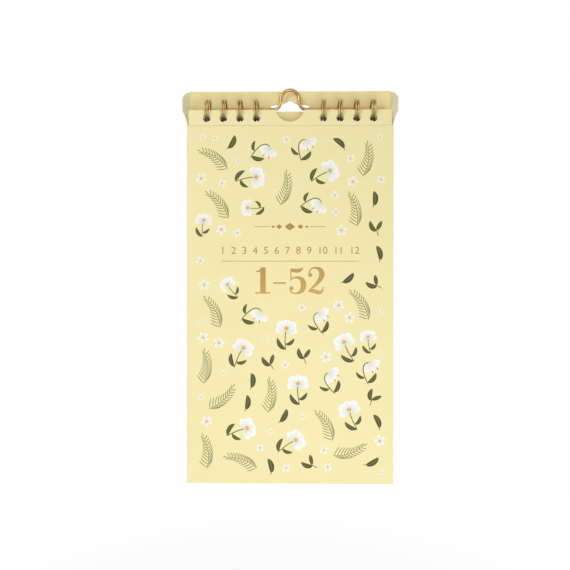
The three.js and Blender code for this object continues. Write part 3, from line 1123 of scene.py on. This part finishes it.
    def hem_grids(self) -> list[np.ndarray]:
        """Front view of the hem, unrolled over its fold.

        Returns:
            Its grids.
        """
        side = spread(self.binding.strip_top + self.hem_low, self.slot_side, self.side_steps)
        upper = spread(self.slot_side, self.line_top, self.hem_steps)
        over = spread(self.line_top, self.line_top + math.pi * self.fold_radius, self.hem_steps)
        slot = self.slot_grid(spread(0, 1, self.hem_steps))
        grids = [slot, plain_grid(slot[-1, :, 0], over)]
        for sign in BOTH_SIDES:
            band = sign * spread(self.slot_half, self.hem_half, self.band_steps)
            grids += [plain_grid(band, rows) for rows in (side, upper, over)]
        return grids

    def folded_over(self, height: np.ndarray, away: float) -> np.ndarray:
        """Points of the hem, as (y, z): along the hood's inside and over its top in a half
        round, centre + radius * (cos a * forward + sin a * up).

        Args:
            height: Heights along the line, and on over the fold.
            away: Distance forwards across the card.

        Returns:
            Points, (n, 2).
        """
        turn = np.maximum(height[:, None] - self.line_top, 0) / self.fold_radius
        forward, up = self.forward[-1], self.upward[-1]
        over = (self.fold_radius + away) * (np.cos(turn) * forward + np.sin(turn) * up)
        over += self.line[-1] + self.fold_radius * forward
        inside = self.beside(np.minimum(height, self.line_top), 2 * self.fold_radius + away)
        return np.where(turn > 0, over, inside)

    def bowed(self, node: str, grids: list, side_view: Callable, finishes: list) -> Piece:
        """Builds the hood or its hem: a front view carried onto the bowed line.

        Args:
            node: Node that it replaces.
            grids: Front view.
            side_view: Gives the points in side view from the heights and the distance across.
            finishes: Finishes of front, back and rim.

        Returns:
            The piece.
        """
        flat, quads = sewn(grids)
        faces = [self.curled(flat[:, 0], side_view(flat[:, 1], side * self.card / 2)) for side in (1, -1)]
        return make_piece(f"{node}_card", "binding", closed_card(*faces, quads), finishes, node)

    def flap(self, finishes: list[Material]) -> Piece:
        """Builds the binding flap, its holes where the loops' circle crosses it: down from
        the axis by the root of reach^2 - distance^2, and up again by a small rise.

        Args:
            finishes: Finishes of front, back and rim.

        Returns:
            The piece.
        """
        low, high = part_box("binding_flap")
        distance = self.flap_middle - self.binding.axis[1]
        hole = self.binding.axis[2] - math.sqrt(self.flap_reach**2 - distance**2) + self.flap_hole_rise
        sheet = PunchedSheet(self.binding, high.x - low.x, low.z, high.z, hole, self.flap_hole, notched=False)
        card = FlatCard("binding_flap", "binding", "back_card", self.binding.crease, dent=0)
        return card.build(sheet.grids(), finishes)

    def build(self) -> list[Piece]:
        """Builds the three pieces.

        Returns:
            The pieces.
        """
        # The hood's inside and the hem's back take the unprinted card with painted shade and painted yellow
        # bounce light.
        inside, printed = UNPRINTED_PAINTED_SHADE.material(), BACK_YELLOW.material()
        hem, core = HEM_YELLOW.material(), CARD_CORE.material()
        return [
            self.flap([hem, printed, core]),
            self.bowed("hood", self.hood_grids(), self.beside, [inside, printed, core]),
            self.bowed("hood_hem", self.hem_grids(), self.folded_over, [hem, inside, core]),
        ]


# Wires


@dataclass
class TwinLoopWire:
    """One binding wire: double loops joined along the root line behind the block."""

    binding: Binding
    side: Side
    lean: tuple[float, float, float, float]
    foot: tuple[float, float, float, float]
    widest: float = 1.05
    narrowest: float = 0.86
    radius: float = 0.43 * MM
    bend: float = 0.9 * MM
    root: float = math.radians(78)
    seam: float = 1.5 * MM
    block_front: float = math.radians(305)
    stops: tuple[float, float, float, float] = (0, 0.45, 1, 1.5)
    bend_steps: int = 8
    leg_steps: int = 90
    tip_steps: int = 20
    sides: int = 16

    def loop(self, number: int, x: float) -> np.ndarray:
        """Middle line of one unrolled double loop: a quarter round up from the root line, a
        leg, a half round at the tip, a leg and a quarter round down. It widens, narrows and
        slides sideways between the stops, which are shares of the way to the block's front.

        Args:
            number: Its number, from 0.
            x: Its place across.

        Returns:
            Points across and along, (n, 2).
        """
        strand, bend = self.binding.strand, self.bend
        tip = FULL_TURN * self.binding.radius - self.seam - strand
        left, right = x - strand, x + strand
        first, last = number == 0, number == self.binding.loops - 1
        up, down = spread(-QUARTER_TURN, 0, self.bend_steps), spread(math.pi, 1.5 * math.pi, self.bend_steps)
        parts = [
            arc((left - bend, bend), bend, up)[:-1],
            pairs(left, spread(0 if first else bend, tip, self.leg_steps)),
            arc((x, tip), strand, spread(math.pi, 0, self.tip_steps))[1:-1],
            pairs(right, spread(tip, 0 if last else bend, self.leg_steps)),
            arc((right + bend, bend), bend, down)[1:],
        ]
        line = np.concatenate(parts[first : len(parts) - last])
        stops = (self.block_front - self.root) * self.binding.radius * np.array(self.stops)
        wide = eased(line[:, 1], stops, [1, self.widest, self.narrowest, 1])
        slid = eased(line[:, 1], stops, [0, self.lean[number], self.foot[number], 0]) * MM
        return pairs(x + (line[:, 0] - x) * wide + slid, line[:, 1])

    def build(self, finish: Material) -> Piece:
        """Builds the wire: the unrolled line carried round the loops' cylinder.

        Args:
            finish: Its finish.

        Returns:
            The piece.
        """
        places = self.binding.places(self.side)
        across, along = np.concatenate([self.loop(number, x) for number, x in enumerate(places)]).T
        angle = self.root + along / self.binding.radius
        outward = np.stack([np.zeros(len(angle)), np.sin(angle), -np.cos(angle)], 1)
        path = self.binding.axis + self.binding.radius * outward
        path[:, 0] = across
        name = f"wire_{self.side.value}"
        shape = tube(path, outward, self.radius, self.sides)
        return make_piece(f"{name}_round", "binding", shape, [finish], name, smooth=True)


@dataclass
class WireHanger:
    """The hanger: arms inside the loops, a flare on each side and a round hook."""

    binding: Binding
    radius: float = 0.84 * MM
    held_loops: int = 3
    overhang: float = 2.0 * MM
    base: float = 9.3 * MM
    rise: float = 10.14 * MM
    hook: float = 4.75 * MM
    leg: float = 1.0 * MM
    arm_steps: int = 30
    flare_steps: int = 40
    leg_steps: int = 3
    arch_steps: int = 30
    sides: int = 24

    def half(self) -> np.ndarray:
        """Left half of the middle line: arm, flare (a cubic curve), leg and arch.

        Returns:
            Points in front view above the arms' line, (n, 2).
        """
        reach = self.binding.places(Side.RIGHT)[self.held_loops - 1] + self.overhang
        top = self.rise - self.hook
        low = top - self.leg
        inner = (self.hook - 3 * self.base) / 4
        knots = [(-self.base, 0), (inner, 0), (-self.hook, low / 2), (-self.hook, low)]
        flare = bezier(knots, spread(0, 1, self.flare_steps))
        arm = pairs(spread(-reach, -self.base, self.arm_steps), 0.0)
        leg = pairs(-self.hook, spread(low, top, self.leg_steps))
        arch = arc((0, top), self.hook, spread(math.pi, QUARTER_TURN, self.arch_steps))
        return np.concatenate([arm[:-1], flare[:-1], leg[:-1], arch])

    def build(self, finish: Material) -> Piece:
        """Builds the hanger.

        Args:
            finish: Its finish.

        Returns:
            The piece.
        """
        half = self.half()
        x, z = np.concatenate([half, (half * BOTH_SIDES)[-2::-1]]).T
        path = joint_place("planner_swing") + np.stack([x, np.zeros(len(x)), z], 1)
        shape = tube(path, np.array([0.0, 1.0, 0.0]), self.radius, self.sides)
        return make_piece(
            "wire_hanger_round", "hanger", shape, [finish], "wire_hanger", smooth=True
        )


# Print


@dataclass
class Strokes:
    """Brush strokes of one ink: each is a quadratic curve with a start, a control point and an
    end, in mm, and a greatest half width, which follows (4 s (1 - s))^power with s = t^skew.
    What the strokes share is given once."""

    ink: Ink
    knots: tuple
    width: object
    power: float
    skew: float = 1.0
    steps: int = 10
    least_profile: float = 1e-9
    least_width: float = 0.04

    def outline(self, scale: float, turn: float, place: np.ndarray) -> tuple[np.ndarray, np.ndarray]:
        """Points of every stroke, three across, once scaled, turned and moved.

        Args:
            scale: Factor on their size.
            turn: Turn to the left, in radians.
            place: Where their origin goes.

        Returns:
            Points, (strokes, steps + 1, 3, 2), and their place across and along.
        """
        c, s = math.cos(turn), math.sin(turn)
        knots = np.stack(np.broadcast_arrays(*(np.atleast_2d(knot) for knot in self.knots)), 1)
        knots = knots @ (np.array([[c, s], [-s, c]]) * scale) + place
        t = spread(0, 1, self.steps)
        part = t**self.skew
        profile = np.maximum(4 * part * (1 - part), self.least_profile) ** self.power
        widths = np.broadcast_to(self.width, len(knots))[:, None] * scale
        line, along = bezier(knots, t), bezier(np.diff(knots, axis=1), t)
        points = ribbon(line, along, widths * np.maximum(profile, self.least_width))
        return points, np.broadcast_to(pairs((ACROSS + 1) / 2, t[:, None]), points.shape)


@dataclass
class Motif:
    """Strokes drawn about an origin in mm, and the discs that cover them."""

    strokes: list[Strokes]
    discs: list[tuple[float, float, float]]


def fan(angles: np.ndarray, reach: object, centre: tuple[float, float] = (0, 0)) -> np.ndarray:
    """Points round a centre: upright at angle 0, turning right."""
    return np.asarray(reach)[..., None] * pairs(np.sin(angles), np.cos(angles)) + np.asarray(centre)


def rays(ink: Ink, centre: tuple, angles: np.ndarray, reaches: tuple, width: float) -> Strokes:
    """Short strokes round a centre, with the distance of their start, middle and end."""
    return Strokes(ink, tuple(fan(angles, reach, centre) for reach in reaches), width, 0.5)


def cup_flower() -> Motif:
    """An open cup of five petals with three stamens on a bent stem with two long leaves.

    Returns:
        The motif.
    """
    head = (0.0, 3.4)
    angles = np.radians([-74, 74, -38, 38, 0])
    tips = fan(angles, [5.6, 5.6, 6.6, 6.6, 6.2], head)
    knots = (head, fan(angles * 1.3, 3.6, head), tips)
    stems = ([(0, 3.8), (0.2, -3.2)], [(-0.9, 0.5), (1.6, -3.8)], [(0.5, -7.2), (2.6, -2.6)])
    leaves = ([(0.4, -6.4), (0.2, -3.6)], [(-3.6, -5.2), (3.0, -4.0)], [(-4.4, -0.6), (4.6, -0.2)])
    strokes = [
        Strokes(Ink.STEM, stems, 0.24, 0.1),
        Strokes(Ink.LEAF, leaves, [1.15, 0.95], 0.7),
        Strokes(Ink.PETAL, knots, [2.0, 2.0, 2.3, 2.3, 2.1], 0.55, 1.5),
        rays(Ink.STAMEN, head, np.radians([-24, 0, 24]), (0.6, 1.5, [2.6, 3.0, 2.6]), 0.55),
    ]
    return Motif(strokes, [(0, 6.2, 6.2), (0, -2.6, 4.6)])


def bell_flower() -> Motif:
    """A nodding bell of four petals on an arched stem with two broad leaves.

    Returns:
        The motif.
    """
    head, middle, opening = (2.6, 4.2), 2.9, 1.15
    angles = np.radians([112, 148, 184, 220])
    tips = fan((angles - middle) * opening + middle, 5.4, head)
    leaves = ([(-2.4, -4.6), (-2.6, -1.6)], [(1.6, -5.0), (-5.2, -1.4)], [(3.6, -1.6), (-5.6, 2.6)])
    strokes = [
        Strokes(Ink.STEM, ((-2.2, -6.2), (-3.4, 6.6), (2.7, 4.6)), 0.24, 0.1),
        Strokes(Ink.LEAF, leaves, [1.1, 0.85], 0.7),
        Strokes(Ink.PETAL, (head, fan(angles, 2.6, head), tips), 1.6, 0.55, 1.35),
        rays(Ink.STAMEN, head, angles[1:3], (3.9, 4.6, 5.8), 0.45),
    ]
    return Motif(strokes, [(2.6, 1.4, 4.8), (-2.6, -1.2, 4.2)])


def twig() -> Motif:
    """A curved sprig with ten pairs of fine leaves that grow shorter towards the tip.

    Returns:
        The motif.
    """
    stem = np.array([(-1.6, -8.6), (2.0, -0.5), (-1.2, 8.0)])
    t = spread(0.06, 0.94, 9)
    root = bezier(stem, t)
    longest, loss = 5.6, 3.2
    reach = (longest - loss * t)[:, None]
    leaves = []
    for tip, bend in (((0.60, 0.80), (0.4, -0.4)), ((-0.66, 0.76), (-0.4, -0.4))):
        end = root + reach * tip
        leaves.append((root, (root + end) / 2 + bend, end))
    tip = stem[2] + np.array([(0, 0), (-0.3, 1.2), (-0.6, 2.4)])
    strokes = [
        Strokes(Ink.TWIG, tuple(stem), 0.17, 0.1),
        *(Strokes(Ink.TWIG, knots, 0.22, 0.5) for knots in leaves),
        Strokes(Ink.TWIG, tuple(tip), 0.22, 0.5),
    ]
    return Motif(strokes, [(-0.6, -4.6, 3.4), (0.2, 1.2, 3.8), (-0.8, 7.0, 2.6)])


def leaf_pair() -> Motif:
    """Two dark leaves on a short stem.

    Returns:
        The motif.
    """
    leaves = ([(0, -0.8), (0, -0.4)], [(-3.0, 0.8), (2.0, 1.6)], [(-2.2, 5.2), (3.8, 3.8)])
    stem = Strokes(Ink.STEM, ((0.4, -3.6), (0.4, -1.6), (0, -0.4)), 0.2, 0.1)
    return Motif([stem, Strokes(Ink.LEAF, leaves, [1.25, 1.05], 0.65)], [(0.2, 1.0, 3.6)])


def curled_leaf() -> Motif:
    """One dark leaf with a curved back and a short stalk.

    Returns:
        The motif.
    """
    stalk = Strokes(Ink.STEM, ((-0.5, -4.4), (-0.2, -3.8), (0.05, -3.0)), 0.18, 0.1)
    leaf = Strokes(Ink.LEAF, ((0, -3.4), (1.8, 0.4), (-0.4, 4.4)), 1.45, 0.6)
    return Motif([stalk, leaf], [(0.4, -1.6, 1.9), (0.4, 2.2, 1.9)])


def floret(petals: int = 4) -> Motif:
    """A small flower with a round middle.

    Args:
        petals: Number of its petals.

    Returns:
        The motif.
    """
    angles = spread(0, FULL_TURN, petals)[:-1]
    crown = tuple(fan(angles, reach) for reach in (0.3, 1.3, 2.5))
    centre = Strokes(Ink.STAMEN, ((0, -0.5), (0, 0), (0, 0.5)), 0.45, 0.5)
    return Motif([Strokes(Ink.PETAL, crown, 3.6 / petals, 0.5, 1.35), centre], [(0, 0, 2.5)])


@dataclass
class FloralPrint:
    """Scattered flowers, sprigs and leaves on the front cover's panel, placed one by one
    from large to small, with the middle left free for the foil. Sizes in mm. The first taken
    disc is an empty one, far off the card."""

    margin: float = 1.5
    tries: int = 400
    seed: int = 11
    turn: float = 0.75
    foil_low: tuple = (-54.0, -70.5, -87.5)
    foil_high: tuple = (-49.0, -60.0, -70.5)
    foil_half: tuple = (20.0, 39.5, 22.0)
    empty_disc: tuple = (0.0, 1000.0, 0.0)

    def kinds(self) -> list[tuple[Motif, int, float]]:
        """The motifs that are scattered, from large to small.

        Returns:
            Each motif with its number and its scale.
        """
        return [
            (cup_flower(), 9, 0.95),
            (twig(), 14, 1.0),
            (bell_flower(), 7, 1.0),
            (cup_flower(), 4, 0.74),
            (leaf_pair(), 6, 0.95),
            (curled_leaf(), 11, 0.95),
            (floret(5), 12, 1.15),
            (floret(), 14, 0.85),
            (floret(6), 12, 0.6),
        ]

    def clearance(self, discs: np.ndarray, taken: np.ndarray) -> np.ndarray:
        """Room round a motif at each try: the least distance from its discs to the taken
        discs, the card's edges and the foil's boxes, less the discs' radii.

        Args:
            discs: Discs of each try, (tries, discs, 3), as x, z and radius.
            taken: Discs placed before, (n, 3).

        Returns:
            Room of each try.
        """
        low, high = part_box(PANEL)
        x, z, radius = np.moveaxis(discs, -1, 0)
        depth = (high.z - low.z) / MM
        edge = np.minimum(high.x / MM - abs(x), np.minimum(-z, depth + z)) - self.margin
        beside = np.maximum(abs(x[..., None]) - self.foil_half, 0)
        above = np.maximum(z[..., None] - self.foil_high, self.foil_low - z[..., None])
        foil = np.hypot(beside, np.maximum(above, 0)).min(-1)
        away = np.hypot(x[..., None] - taken[:, 0], z[..., None] - taken[:, 1]) - taken[:, 2]
        return (np.minimum(np.minimum(edge, foil), away.min(-1)) - radius).min(-1)

    def placed(self) -> list[tuple[Motif, float, float, np.ndarray]]:
        """Every motif in its place: of many random places and turns it takes the one with
        the most room, and it is left out where that would overlap.

        Returns:
            The motifs, each with its scale, turn and place.
        """
        rng = np.random.default_rng(self.seed)
        low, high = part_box(PANEL)
        taken = np.array([self.empty_disc])
        found = []
        for motif, count, scale in self.kinds():
            own_x, own_z, radius = (np.array(motif.discs, float) * scale).T
            for _ in range(count):
                across = rng.uniform(low.x, high.x, (self.tries, 1)) / MM
                upwards = rng.uniform(low.z - high.z, 0, (self.tries, 1)) / MM
                turns = rng.normal(0, self.turn, (self.tries, 1))
                c, s = np.cos(turns), np.sin(turns)
                x, z = c * own_x - s * own_z + across, s * own_x + c * own_z + upwards
                discs = np.stack(np.broadcast_arrays(x, z, radius), -1)
                room = self.clearance(discs, taken)
                best = int(room.argmax())
                if room[best] > 0:
                    taken = np.concatenate([taken, discs[best]])
                    place = np.concatenate([across[best], upwards[best]])
                    found.append((motif, scale, float(turns[best, 0]), place))
        return found


@dataclass
class FoilNumbers:
    """Gold foil in the free band, in mm: lozenges and fine lines, the months' numbers in a
    row, and the weeks' first and last number in tall numerals."""

    lozenge_height: float = 51.5
    lozenges: tuple = ((0, 2.6, 2.0), (-5.4, 1.5, 1.2), (5.4, 1.5, 1.2), (-8.6, 0.9, 0.7), (8.6, 0.9, 0.7))
    taper: float = 0.97
    row_height: float = 65.3
    line_height: float = 69.0
    line_half: float = 0.13
    line_steps: int = 6
    long_line: float = 35.0
    side_line: tuple[float, float] = (10.4, 18.0)
    letter_size: float = 5.2
    letter_depth: float = 0.008
    letter_lift: float = 0.010
    letter_steps: int = 6
    numeral_low: float = 85.5
    numeral_size: float = 13.4
    numeral_widths: tuple = (0.66, 0.6, 0.72, 0.72)
    pen_steps: int = 8

    def figures(self) -> list[list[tuple]]:
        """The numerals 1, -, 5 and 2 as pen lines, one unit high, in knots of x, z and width.

        Returns:
            Pen lines of each numeral.
        """
        one = [
            ((0.33, 0.02, 0.21), (0.33, 0.35, 0.21), (0.33, 0.68, 0.21), (0.33, 0.99, 0.21)),
            ((0.36, 0.97, 0.10), (0.24, 0.88, 0.08), (0.12, 0.84, 0.05), (0.05, 0.84, 0.03)),
            ((0.04, 0.025, 0.05), (0.24, 0.025, 0.05), (0.42, 0.025, 0.05), (0.62, 0.025, 0.05)),
        ]
        dash = [((0.06, 0.40, 0.06), (0.22, 0.40, 0.06), (0.38, 0.40, 0.06), (0.54, 0.40, 0.06))]
        bowl = ((0.12, 0.50, 0.03), (0.22, 0.59, 0.05), (0.40, 0.61, 0.09), (0.56, 0.51, 0.18))
        bowl += ((0.61, 0.31, 0.21), (0.54, 0.11, 0.17), (0.36, 0.01, 0.06), (0.19, 0.03, 0.05))
        bowl += ((0.10, 0.14, 0.05),)
        five = [
            ((0.13, 0.90, 0.10), (0.28, 0.87, 0.15), (0.45, 0.88, 0.14), (0.60, 0.97, 0.03)),
            ((0.13, 0.94, 0.04), (0.13, 0.80, 0.04), (0.13, 0.62, 0.04), (0.13, 0.49, 0.04)),
            bowl,
            ((0.08, 0.17, 0.05), (0.13, 0.20, 0.15), (0.17, 0.20, 0.15), (0.22, 0.17, 0.05)),
        ]
        back = ((0.09, 0.77, 0.05), (0.18, 0.93, 0.05), (0.35, 0.98, 0.07), (0.53, 0.89, 0.17))
        back += ((0.58, 0.71, 0.21), (0.49, 0.50, 0.16), (0.30, 0.29, 0.09), (0.09, 0.10, 0.05))
        foot = ((0.07, 0.09, 0.04), (0.24, 0.10, 0.14), (0.44, 0.05, 0.16), (0.58, 0.08, 0.09))
        two = [
            ((0.07, 0.74, 0.05), (0.12, 0.71, 0.15), (0.17, 0.71, 0.15), (0.22, 0.74, 0.05)),
            back,
            (*foot, (0.64, 0.26, 0.03)),
        ]
        return [one, dash, five, two]

    def pen_line(self, knots: tuple) -> np.ndarray:
        """A line of changing width through its knots: between two knots it follows the
        Catmull-Rom curve of the four knots around, and the width changes evenly.

        Args:
            knots: Points that it passes, with its width at each.

        Returns:
            Points three across, (n, 3, 2).
        """
        given, widths = np.array(knots)[:, :2], np.array(knots)[:, 2]
        p = np.concatenate([2 * given[:1] - given[1:2], given, 2 * given[-1:] - given[-2:-1]])
        t = np.arange(self.pen_steps)[None, :, None] / self.pen_steps
        a, b, c, d = (p[k : len(p) - 3 + k, None] for k in range(4))
        twice = 2 * b + (c - a) * t + (2 * a - 5 * b + 4 * c - d) * t**2 + (3 * b - a - 3 * c + d) * t**3
        line = np.concatenate([twice.reshape(-1, 2) / 2, given[-1:]])
        width = np.interp(spread(0, len(given) - 1, len(line) - 1), np.arange(len(given)), widths)
        return ribbon(line, np.gradient(line, axis=0), width / 2)

    def numerals(self) -> list[np.ndarray]:
        """The tall numerals, centred.

        Returns:
            Grids of points in mm, three across.
        """
        left = -sum(self.numeral_widths) / 2
        found = []
        for lines, advance in zip(self.figures(), self.numeral_widths):
            place = np.array([left * self.numeral_size, -self.numeral_low])
            found += [self.pen_line(knots) * self.numeral_size + place for knots in lines]
            left += advance
        return found

    def band(self, across: np.ndarray, half: object, height: float) -> np.ndarray:
        """Level band with its upper edge, middle and lower edge, below the crease by height."""
        return np.stack([pairs(across, share * half - height) for share in -ACROSS], 1)

    def rules(self) -> list[np.ndarray]:
        """Lozenges with fine lines beside them, and the fine line below the numbers.

        Returns:
            Grids of points in mm, three across.
        """
        found = []
        for x, half, tall in self.lozenges:
            across = spread(-half, half, 2)
            upwards = tall * (1 - abs(across) / half * self.taper)
            found.append(self.band(across + x, upwards, self.lozenge_height))
        inner, outer = self.side_line
        for start, end, height in (
            (-outer, -inner, self.lozenge_height),
            (inner, outer, self.lozenge_height),
            (-self.long_line, self.long_line, self.line_height),
        ):
            found.append(self.band(spread(start, end, self.line_steps), self.line_half, height))
        return found

    def month_numbers(self, finish: Material, front: float, crease: float) -> Piece:
        """The row of plain numbers, one for each month, set with the built-in letters.

        Args:
            finish: Its finish.
            front: Depth of the card's face.
            crease: Height of the crease.

        Returns:
            The piece.
        """
        curve = bpy.data.curves.new("month_numbers", "FONT")
        curve.body = "  ".join(str(number) for number in range(1, 13))
        curve.size = self.letter_size * MM
        curve.align_x = "CENTER"
        curve.extrude = self.letter_depth * MM
        curve.resolution_u = self.letter_steps
        source = linked("month_numbers_source", curve)
        bpy.context.view_layer.update()
        mesh = bpy.data.meshes.new_from_object(source.evaluated_get(bpy.context.evaluated_depsgraph_get()))
        bpy.data.objects.remove(source)
        place = Vector((0, front - self.letter_lift * MM, crease - self.row_height * MM))
        mesh.transform(Matrix.Translation(place) @ Matrix.Rotation(QUARTER_TURN, 4, "X"))
        mesh.name = "foil_month_numbers"
        mesh.materials.clear()
        mesh.materials.append(finish)
        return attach(linked("foil_month_numbers", mesh), "front_panel")


@dataclass
class CoverPrint:
    """All the print of the front cover's panel, as islands a few hundredths of a mm high."""

    binding: Binding
    floral: FloralPrint = field(default_factory=FloralPrint)
    foil: FoilNumbers = field(default_factory=FoilNumbers)
    step: float = 0.0007 * MM
    levels: int = 8
    sunk: float = 0.004 * MM

    def layer(self, name: str, ink: Ink, grids: list, marks: list, finish: Material) -> Piece:
        """One ink as thin closed islands just above the card, each a step above the last.

        Args:
            name: Name of the piece.
            ink: Its ink.
            grids: Points in mm below the crease, three across, (n, 3, 2) each.
            marks: Place across and along of each point.
            finish: Its finish.

        Returns:
            The piece.
        """
        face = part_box(PANEL)[0].y
        flat, quads = laid_out(grids)
        lift = ink.value * MM + self.step * (np.arange(len(grids)) % self.levels)
        lift = np.repeat(lift, [grid[..., 0].size for grid in grids])
        flat = flat * MM + np.array([0, self.binding.crease])
        shape = flat_card(flat, quads, face - lift, face + self.sunk)
        piece = make_piece(name, "front_panel", shape, [finish])
        places = np.tile(np.concatenate([mark.reshape(-1, 2) for mark in marks]), (2, 1))
        vectors = np.column_stack([places, np.zeros(len(places))])
        attribute = piece.data.attributes.new("stroke", "FLOAT_VECTOR", "POINT")
        attribute.data.foreach_set("vector", vectors.astype(np.float32).ravel())
        return piece

    def build(self) -> list[Piece]:
        """Builds the inks.

        Returns:
            The pieces.
        """
        finishes = {
            Ink.TWIG: TWIG_INK,
            Ink.STEM: STEM_INK,
            Ink.LEAF: LEAF_INK,
            Ink.PETAL: PETAL_INK,
            Ink.STAMEN: STAMEN_INK,
        }
        drawn = {ink: ([], []) for ink in finishes}
        for motif, *place in self.floral.placed():
            for strokes in motif.strokes:
                for kept, new in zip(drawn[strokes.ink], strokes.outline(*place)):
                    kept.extend(new)
        pieces = [
            self.layer(f"print_{ink.name.lower()}", ink, *drawn[ink], finish.material())
            for ink, finish in finishes.items()
        ]
        gold = FOIL.material()
        foil = [*self.foil.rules(), *self.foil.numerals()]
        middles = [np.full(grid.shape, 0.5) for grid in foil]
        pieces.append(self.layer("foil_numerals", Ink.FOIL, foil, middles, gold))
        return [*pieces, self.foil.month_numbers(gold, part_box(PANEL)[0].y, self.binding.crease)]


# Studio


@dataclass(frozen=True)
class Lamp:
    """A soft square lamp: its place and the point that it faces, both in metres, the side of
    its square, and its power in watts."""

    name: str
    place: Triple
    aim: Triple
    size: float
    power: float

    def build(self) -> None:
        """Puts the lamp into the scene."""
        data = bpy.data.lights.new(self.name, "AREA")
        data.size = self.size
        data.energy = self.power
        lamp = linked(self.name, data)
        lamp.location = self.place
        lamp.rotation_mode = "QUATERNION"
        lamp.rotation_quaternion = (Vector(self.aim) - Vector(self.place)).to_track_quat("-Z", "Y")


@dataclass
class Studio:
    """Floor, background, lamps and camera."""

    image_width: int = 570
    focal_pixels: float = 527.8
    sensor: float = 36
    camera_place: Triple = (1.48, -274.77, -98.92)
    tilt: float = math.radians(-0.31)
    swing: float = math.radians(0.84)
    roll: float = math.radians(-0.04)
    sight: tuple[float, float] = (0.01, 10)
    floor_height: float = -0.34
    floor_radius: float = 0.3
    floor_middle: float = 0.02
    floor_rings: int = 12
    floor_sides: int = 96
    floor_clouds: float = 4 * MM
    floor_roughness: float = 0.8
    floor_colour: Colour = (0.93, 0.93, 0.92)
    floor_shade: Colour = (0.90, 0.90, 0.89)
    fade: tuple[float, float] = (0.25, 0.95)
    least_white: float = 0.7
    ambient: float = 0.33
    ambient_colour: Colour = (1.0, 0.99, 0.97)
    lamps: tuple = (
        Lamp("key_upper_left", (-0.32, -0.42, 0.22), (0, 0, -0.06), 0.28, 1.13),
        Lamp("fill_lower_front", (0.05, -0.42, -0.30), (0, 0, -0.2), 0.3, 1.14),
        Lamp("back_right", (0.5, 0.5, 0.1), (0, 0, -0.1), 0.4, 3.4),
    )

    def camera(self) -> None:
        """The camera at the photograph's place: its right, up and depth axes are the rows of
        roll about the depth, times tilt about the right, times swing about the upright."""
        turns = ((self.roll, "Z"), (self.tilt, "X"), (self.swing, "Y"))
        roll, tilt, swing = (Matrix.Rotation(angle, 3, axis) for angle, axis in turns)
        right, up, depth = (Vector((row[0], row[2], row[1])) for row in roll @ tilt @ swing)
        turn = Matrix((right, up, -depth)).transposed()
        data = bpy.data.cameras.new("photo_camera")
        data.lens = self.focal_pixels / self.image_width * self.sensor
        data.sensor_width = self.sensor
        data.clip_start, data.clip_end = self.sight
        camera = linked("photo_camera", data)
        camera.matrix_world = Matrix.Translation(Vector(self.camera_place) * MM) @ turn.to_4x4()
        bpy.context.scene.camera = camera

    def floor(self) -> None:
        """A round pale floor below the planner, which fades to the background's white
        towards its rim: z is level, x and y are r cos a and r sin a. It shows white with
        the planner's shadow to the camera, and lights the planner as plain pale card."""
        angle = spread(0, FULL_TURN, self.floor_sides)[:-1]
        radius = spread(self.floor_middle, self.floor_radius, self.floor_rings)[:, None]
        places = np.broadcast_arrays(radius * np.cos(angle), radius * np.sin(angle), self.floor_height)
        quads = grid_faces(len(radius), self.floor_sides, closed=True)[:, ::-1]
        mesh = bpy.data.meshes.new("floor")
        middle = list(range(self.floor_sides))
        mesh.from_pydata(np.stack(places, -1).reshape(-1, 3).tolist(), [], [*quads.tolist(), middle])
        nodes = Surface("pale_floor")
        tone = nodes.spread_to(nodes.noise(self.floor_clouds), 0, 1)
        colour = nodes.mix(tone, self.floor_colour, self.floor_shade)
        nodes.dressed({"Base Color": colour, "Roughness": self.floor_roughness})
        squares = [nodes.math("MULTIPLY", *[nodes.axis(name)] * 2) for name in ("X", "Y")]
        reach = nodes.math("SQRT", nodes.math("ADD", *squares))
        start, end = (share * self.floor_radius for share in self.fade)
        fade = nodes.spread_to(reach, self.least_white, 1, start, end)
        share = nodes.math("MULTIPLY", nodes.seen(), fade)
        white = nodes.add("Emission", {0: WHITE})
        nodes.give(nodes.output, nodes.add("MixShader", {0: share, 1: nodes.shader.outputs[0], 2: white}))
        mesh.materials.append(nodes.material)
        linked("floor", mesh)

    def background(self) -> None:
        """White for what the camera, gloss and glass see, and an even soft light otherwise."""
        world = bpy.data.worlds.new("studio")
        bpy.context.scene.world = world
        world.use_nodes = True
        nodes = Nodes(world.node_tree, "ShaderNodeOutputWorld")
        light = nodes.add("Background", {0: self.ambient_colour, 1: self.ambient})
        white = nodes.add("Background", {0: WHITE})
        nodes.give(nodes.output, nodes.add("MixShader", {0: nodes.seen(), 1: light, 2: white}))

    def build(self) -> None:
        """Sets the studio up."""
        self.camera()
        self.floor()
        self.background()
        for lamp in self.lamps:
            lamp.build()
        bpy.context.scene.view_settings.view_transform = "Standard"


def main() -> None:
    """Dresses the planner, piece by piece, and lights it."""
    logging.basicConfig(level=logging.INFO, format="%(name)s: %(message)s")
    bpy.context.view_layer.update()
    binding = Binding()
    gold = WireFinish().material()
    pieces = [
        *Covers(binding).build(),
        *Leaves(binding).build(),
        *BackCardTop(binding).build(),
        TwinLoopWire(binding, Side.LEFT, (0.5, 0.2, -0.2, -0.45), (-0.1, -0.1, -0.3, -0.3)).build(gold),
        TwinLoopWire(binding, Side.RIGHT, (0.5, 0.5, 0.5, 0.4), (0.15, 0.1, 0.05, 0.0)).build(gold),
        WireHanger(binding).build(gold),
        *CoverPrint(binding).build(),
    ]
    for piece in pieces:
        LOG.info("%s: %d faces", piece.name, len(piece.data.polygons))
    Studio().build()
    bpy.context.view_layer.update()


if __name__ == "__main__":
    main()
